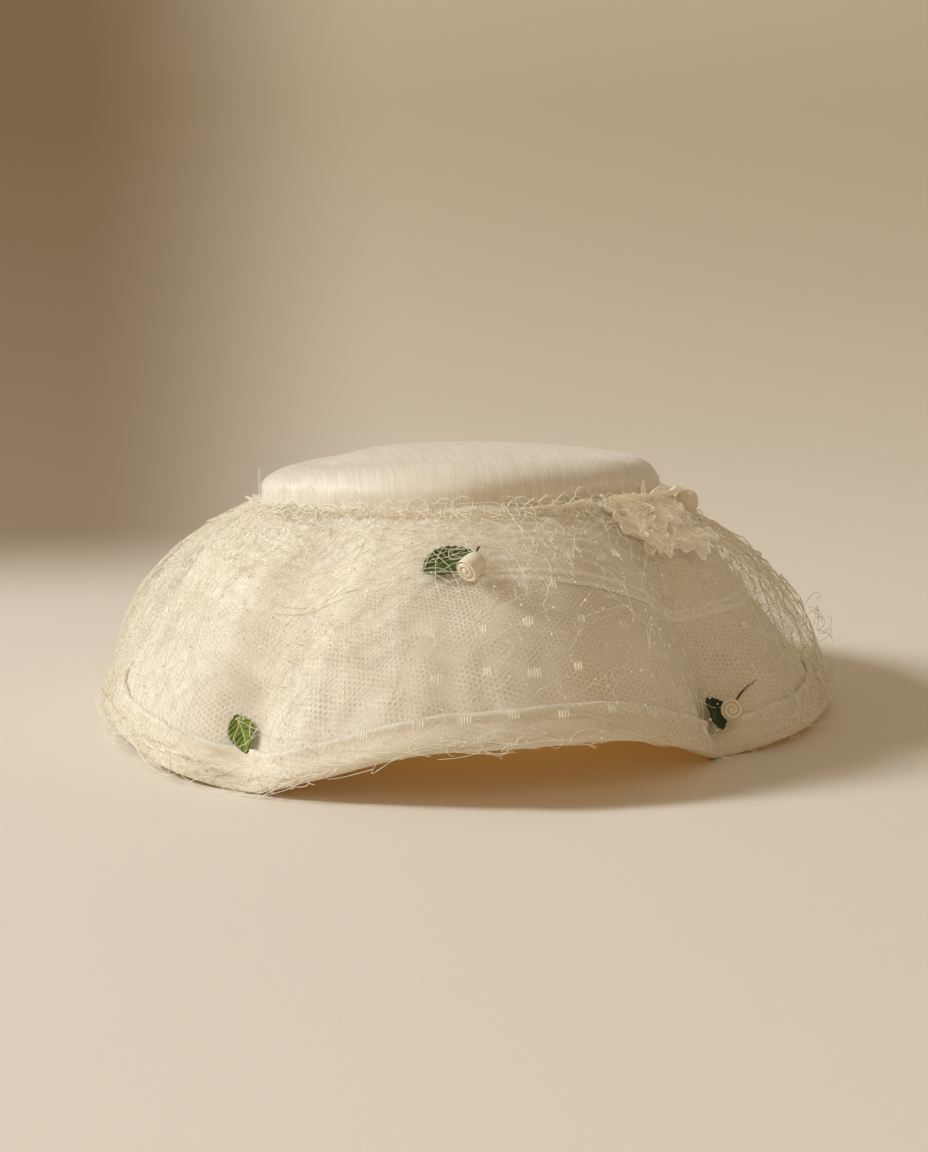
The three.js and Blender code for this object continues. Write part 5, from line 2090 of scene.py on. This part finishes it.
@dataclass(frozen=True)
class Studio:
    """The pale floor that sweeps up into a wall, the light and the camera."""

    shape: HatShape
    azimuth: float = -8.0
    elevation: float = 11.0
    distance: float = 1.1
    focal_pixels: float = 2345.0
    frame_size: tuple[int, int] = (928, 1152)
    origin_pixel: tuple[float, float] = (460.0, 703.0)
    sensor: float = 36.0
    sweep_start: float = 0.185
    sweep_radius: float = 0.28
    floor_tones: tuple[Color, Color] = ((0.785, 0.722, 0.612), (0.805, 0.742, 0.632))
    # The wall grades from a darker tone low to a paler one high, standing in for the fall of the light:
    # painted light.
    wall_painted_light: tuple[Color, Color] = ((0.77, 0.69, 0.565), (0.98, 0.95, 0.86))
    # The colour of a painted shadow on the wall at the -X side.
    shade: Color = (0.32, 0.235, 0.15)
    sky: Color = (1.0, 0.8, 0.58)
    sky_strength: float = 0.24

    def camera(self) -> None:
        """Places the camera where the photo was taken from."""
        a, e = math.radians(self.azimuth), math.radians(self.elevation)
        back = Vector((math.sin(a) * math.cos(e), -math.cos(a) * math.cos(e), math.sin(e)))
        right = Vector((math.cos(a), math.sin(a), 0))
        up = back.cross(right)
        width, height = self.frame_size
        x = (self.origin_pixel[0] - width / 2) / self.focal_pixels
        y = (height / 2 - self.origin_pixel[1]) / self.focal_pixels
        ray = (-back + right * x + up * y).normalized()
        data = bpy.data.cameras.new("camera")
        data.sensor_fit = "VERTICAL"
        data.sensor_height = self.sensor
        data.sensor_width = self.sensor
        data.lens = self.focal_pixels / height * self.sensor
        item = bpy.data.objects.new("camera", data)
        turn = Matrix((right, up, back)).transposed().to_4x4()
        item.matrix_world = Matrix.Translation(Vector((*self.shape.shift, 0)) - ray * self.distance) @ turn
        bpy.context.scene.collection.objects.link(item)
        bpy.context.scene.camera = item

    def light(self, lamp: Lamp) -> None:
        """Adds one soft light.

        Args:
            lamp: The light's plan.
        """
        data = bpy.data.lights.new(lamp.name, "AREA")
        data.size = lamp.size
        data.energy = lamp.power
        data.color = lamp.color
        item = bpy.data.objects.new(lamp.name, data)
        item.location = lamp.place
        item.rotation_euler = (Vector(lamp.aim) - Vector(lamp.place)).to_track_quat("-Z", "Y").to_euler()
        bpy.context.scene.collection.objects.link(item)

    def backdrop(self) -> None:
        """Builds the floor and the wall as one sweep, with painted light and a painted shadow on the wall."""
        floor = [(-2.4, 0.0), (-0.6, 0.0), (self.sweep_start, 0.0)]
        curve = [
            (self.sweep_start + self.sweep_radius * math.sin(a), self.sweep_radius * (1 - math.cos(a)))
            for a in np.radians(np.linspace(6, 90, 15))
        ]
        wall = [(self.sweep_start + self.sweep_radius, 2.6)]
        profile = np.array(floor + curve + wall)
        across = np.linspace(-3, 3, 13)
        points = np.stack(
            [np.stack([np.full(len(profile), x), profile[:, 0], profile[:, 1]], 1) for x in across], 0,
        )[::-1]
        item = grid_object("backdrop", points)
        material, tree, shader = start_material("backdrop_paper")
        place = tree.add("ShaderNodeTexCoord").outputs["Object"]
        parts = tree.add("ShaderNodeSeparateXYZ", {0: place}).outputs
        grain = tree.noise(place, 400.0, 2.0)
        height = tree.step(parts[2], 0.0, 0.12)
        low = tree.step(parts[2], 0.0, 0.035)
        # Painted shadow: the wall is darkened on the -X side.
        left = tree.math("MULTIPLY", tree.step(tree.math("MULTIPLY", parts[0], -1.0), -0.02, 0.19), low)
        pale = tree.mix(grain, *map(rgba, self.floor_tones))
        # Painted light: the wall is paler towards its top.
        wall = tree.mix(tree.step(parts[2], 0.15, 0.6), *map(rgba, self.wall_painted_light))
        tone = tree.mix(height, pale, wall)
        tree.link(tree.mix(left, tone, rgba(self.shade)), shader.inputs["Base Color"])
        shader.inputs["Roughness"].default_value = 0.9
        behind = tree.add("ShaderNodeNewGeometry").outputs["Backfacing"]
        tree.link(tree.math("SUBTRACT", 1.0, behind), shader.inputs["Alpha"])
        item.data.materials.append(material)

    def build(self) -> None:
        """Builds the stage, the light and the camera."""
        self.backdrop()
        for lamp in LAMPS:
            self.light(lamp)
        world = bpy.data.worlds.new("studio")
        world.use_nodes = True
        back = world.node_tree.nodes["Background"]
        back.inputs["Color"].default_value = rgba(self.sky)
        back.inputs["Strength"].default_value = self.sky_strength
        scene = bpy.context.scene
        scene.world = world
        scene.view_settings.view_transform = "Standard"
        self.camera()


COVER = TulleFinish("tulle_over_cloth", (0.88, 0.81, 0.68), (0.65, 0.56, 0.41), cell=0.0019)
# The scarf's tulle, with a painted highlight on the crests of its folds.
LAYERS = TulleFinish(
    "tulle_layers", (0.86, 0.79, 0.66), (0.8, 0.72, 0.57), cell=0.001, bump=0.2, crest=(0.96, 0.92, 0.82),
    painted_highlight=0.85,
)
# The film's tulle, with a faint painted highlight on its creases.
FILM = TulleFinish(
    "tulle_film", (0.91, 0.87, 0.76), (0.88, 0.82, 0.69), cell=0.0019, bump=0.1, alpha_holes=0.06,
    alpha_threads=0.24, alpha_crest=0.2, painted_highlight=0.4,
)
# The ruffle's tulle, with a painted highlight on its crests and a painted glow by emission.
PETALS = TulleFinish(
    "tulle_ruffle", (0.98, 0.93, 0.8), (0.96, 0.88, 0.71), cell=0.0011, alpha_holes=0.22, alpha_threads=0.7,
    alpha_crest=0.6, crest=(0.99, 0.96, 0.87), painted_highlight=0.9, lit_crest=0.34, glow=(0.2, 0.16, 0.11),
)
# The frill's tulle, with a painted glow by emission all over.
GATHERS = TulleFinish(
    "tulle_gathers", (0.93, 0.88, 0.77), (0.9, 0.83, 0.69), cell=0.0017, bump=0.15, alpha_holes=0.3,
    alpha_threads=0.65, lit_crest=0.5, glow=(0.2, 0.16, 0.105),
)
# The binding's tulle, with a painted highlight on the hem's top ridge.
BINDING = TulleFinish("tulle_binding", (0.81, 0.73, 0.57), (0.73, 0.63, 0.45), cell=0.001, bump=0.2)
NET_THREAD = ThreadFinish("net_thread", (0.96, 0.92, 0.8), (0.9, 0.81, 0.58))
DOT_THREAD = ThreadFinish("dot_thread", (0.98, 0.95, 0.86), (0.94, 0.88, 0.74))
LOWER_FOLDS = (Fold(0.3, 0.08, 0.0004, 0.05), Fold(0.72, 0.05, 0.0005, 0.05))
UPPER_FOLDS = (
    Fold(0.1, 0.05, 0.0009, 0.03),
    Fold(0.24, 0.04, 0.0007, 0.04),
    Fold(0.38, 0.05, 0.0011, 0.05),
    Fold(0.55, 0.04, 0.0008, 0.05),
    Fold(0.68, 0.05, 0.001, 0.05),
    Fold(0.83, 0.04, 0.0008, 0.03),
)


def main() -> None:
    """Builds the whole hat on its frame."""
    logging.basicConfig(level=logging.INFO, format="%(name)s %(message)s")
    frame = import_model()
    log.info("the frame has %d nodes", len(frame["nodes"]))
    shape = shape_in_frame()
    log.info("the hat's axis is at %.4f, %.4f", *shape.shift)
    groups = Groups.build()
    maker = ThreadMaker(thread_tree())
    Studio(shape).build()
    layers = LAYERS.build(groups)
    net_thread = NET_THREAD.build(groups)
    dot_thread = DOT_THREAD.build(groups)
    Crown(shape).build(RibbedFinish().build(groups))
    Brim(shape).build(COVER.build(groups))
    Hem(shape).build(BINDING.build(groups))
    ScarfLayer(
        shape, "scarf_lower", 0.0006, LOWER_FOLDS, extra=0.035, seed=35, edge=0.0003, climb=0.001,
    ).build(layers, ["brim_cover"])
    ScarfLayer(shape, "scarf_upper", 0.0015, UPPER_FOLDS).build(layers, ["scarf_lower"], "tulle_swathe")
    Frill(shape).build(GATHERS.build(groups))
    Ruffle(shape).build(maker, PETALS.build(groups), dot_thread)
    veil = Veil(shape)
    veil.build(maker, FILM.build(groups), net_thread)
    Dots(shape).build(maker, dot_thread, veil.tacks)
    Sprigs(shape).build(maker, groups)


if __name__ == "__main__":
    main()
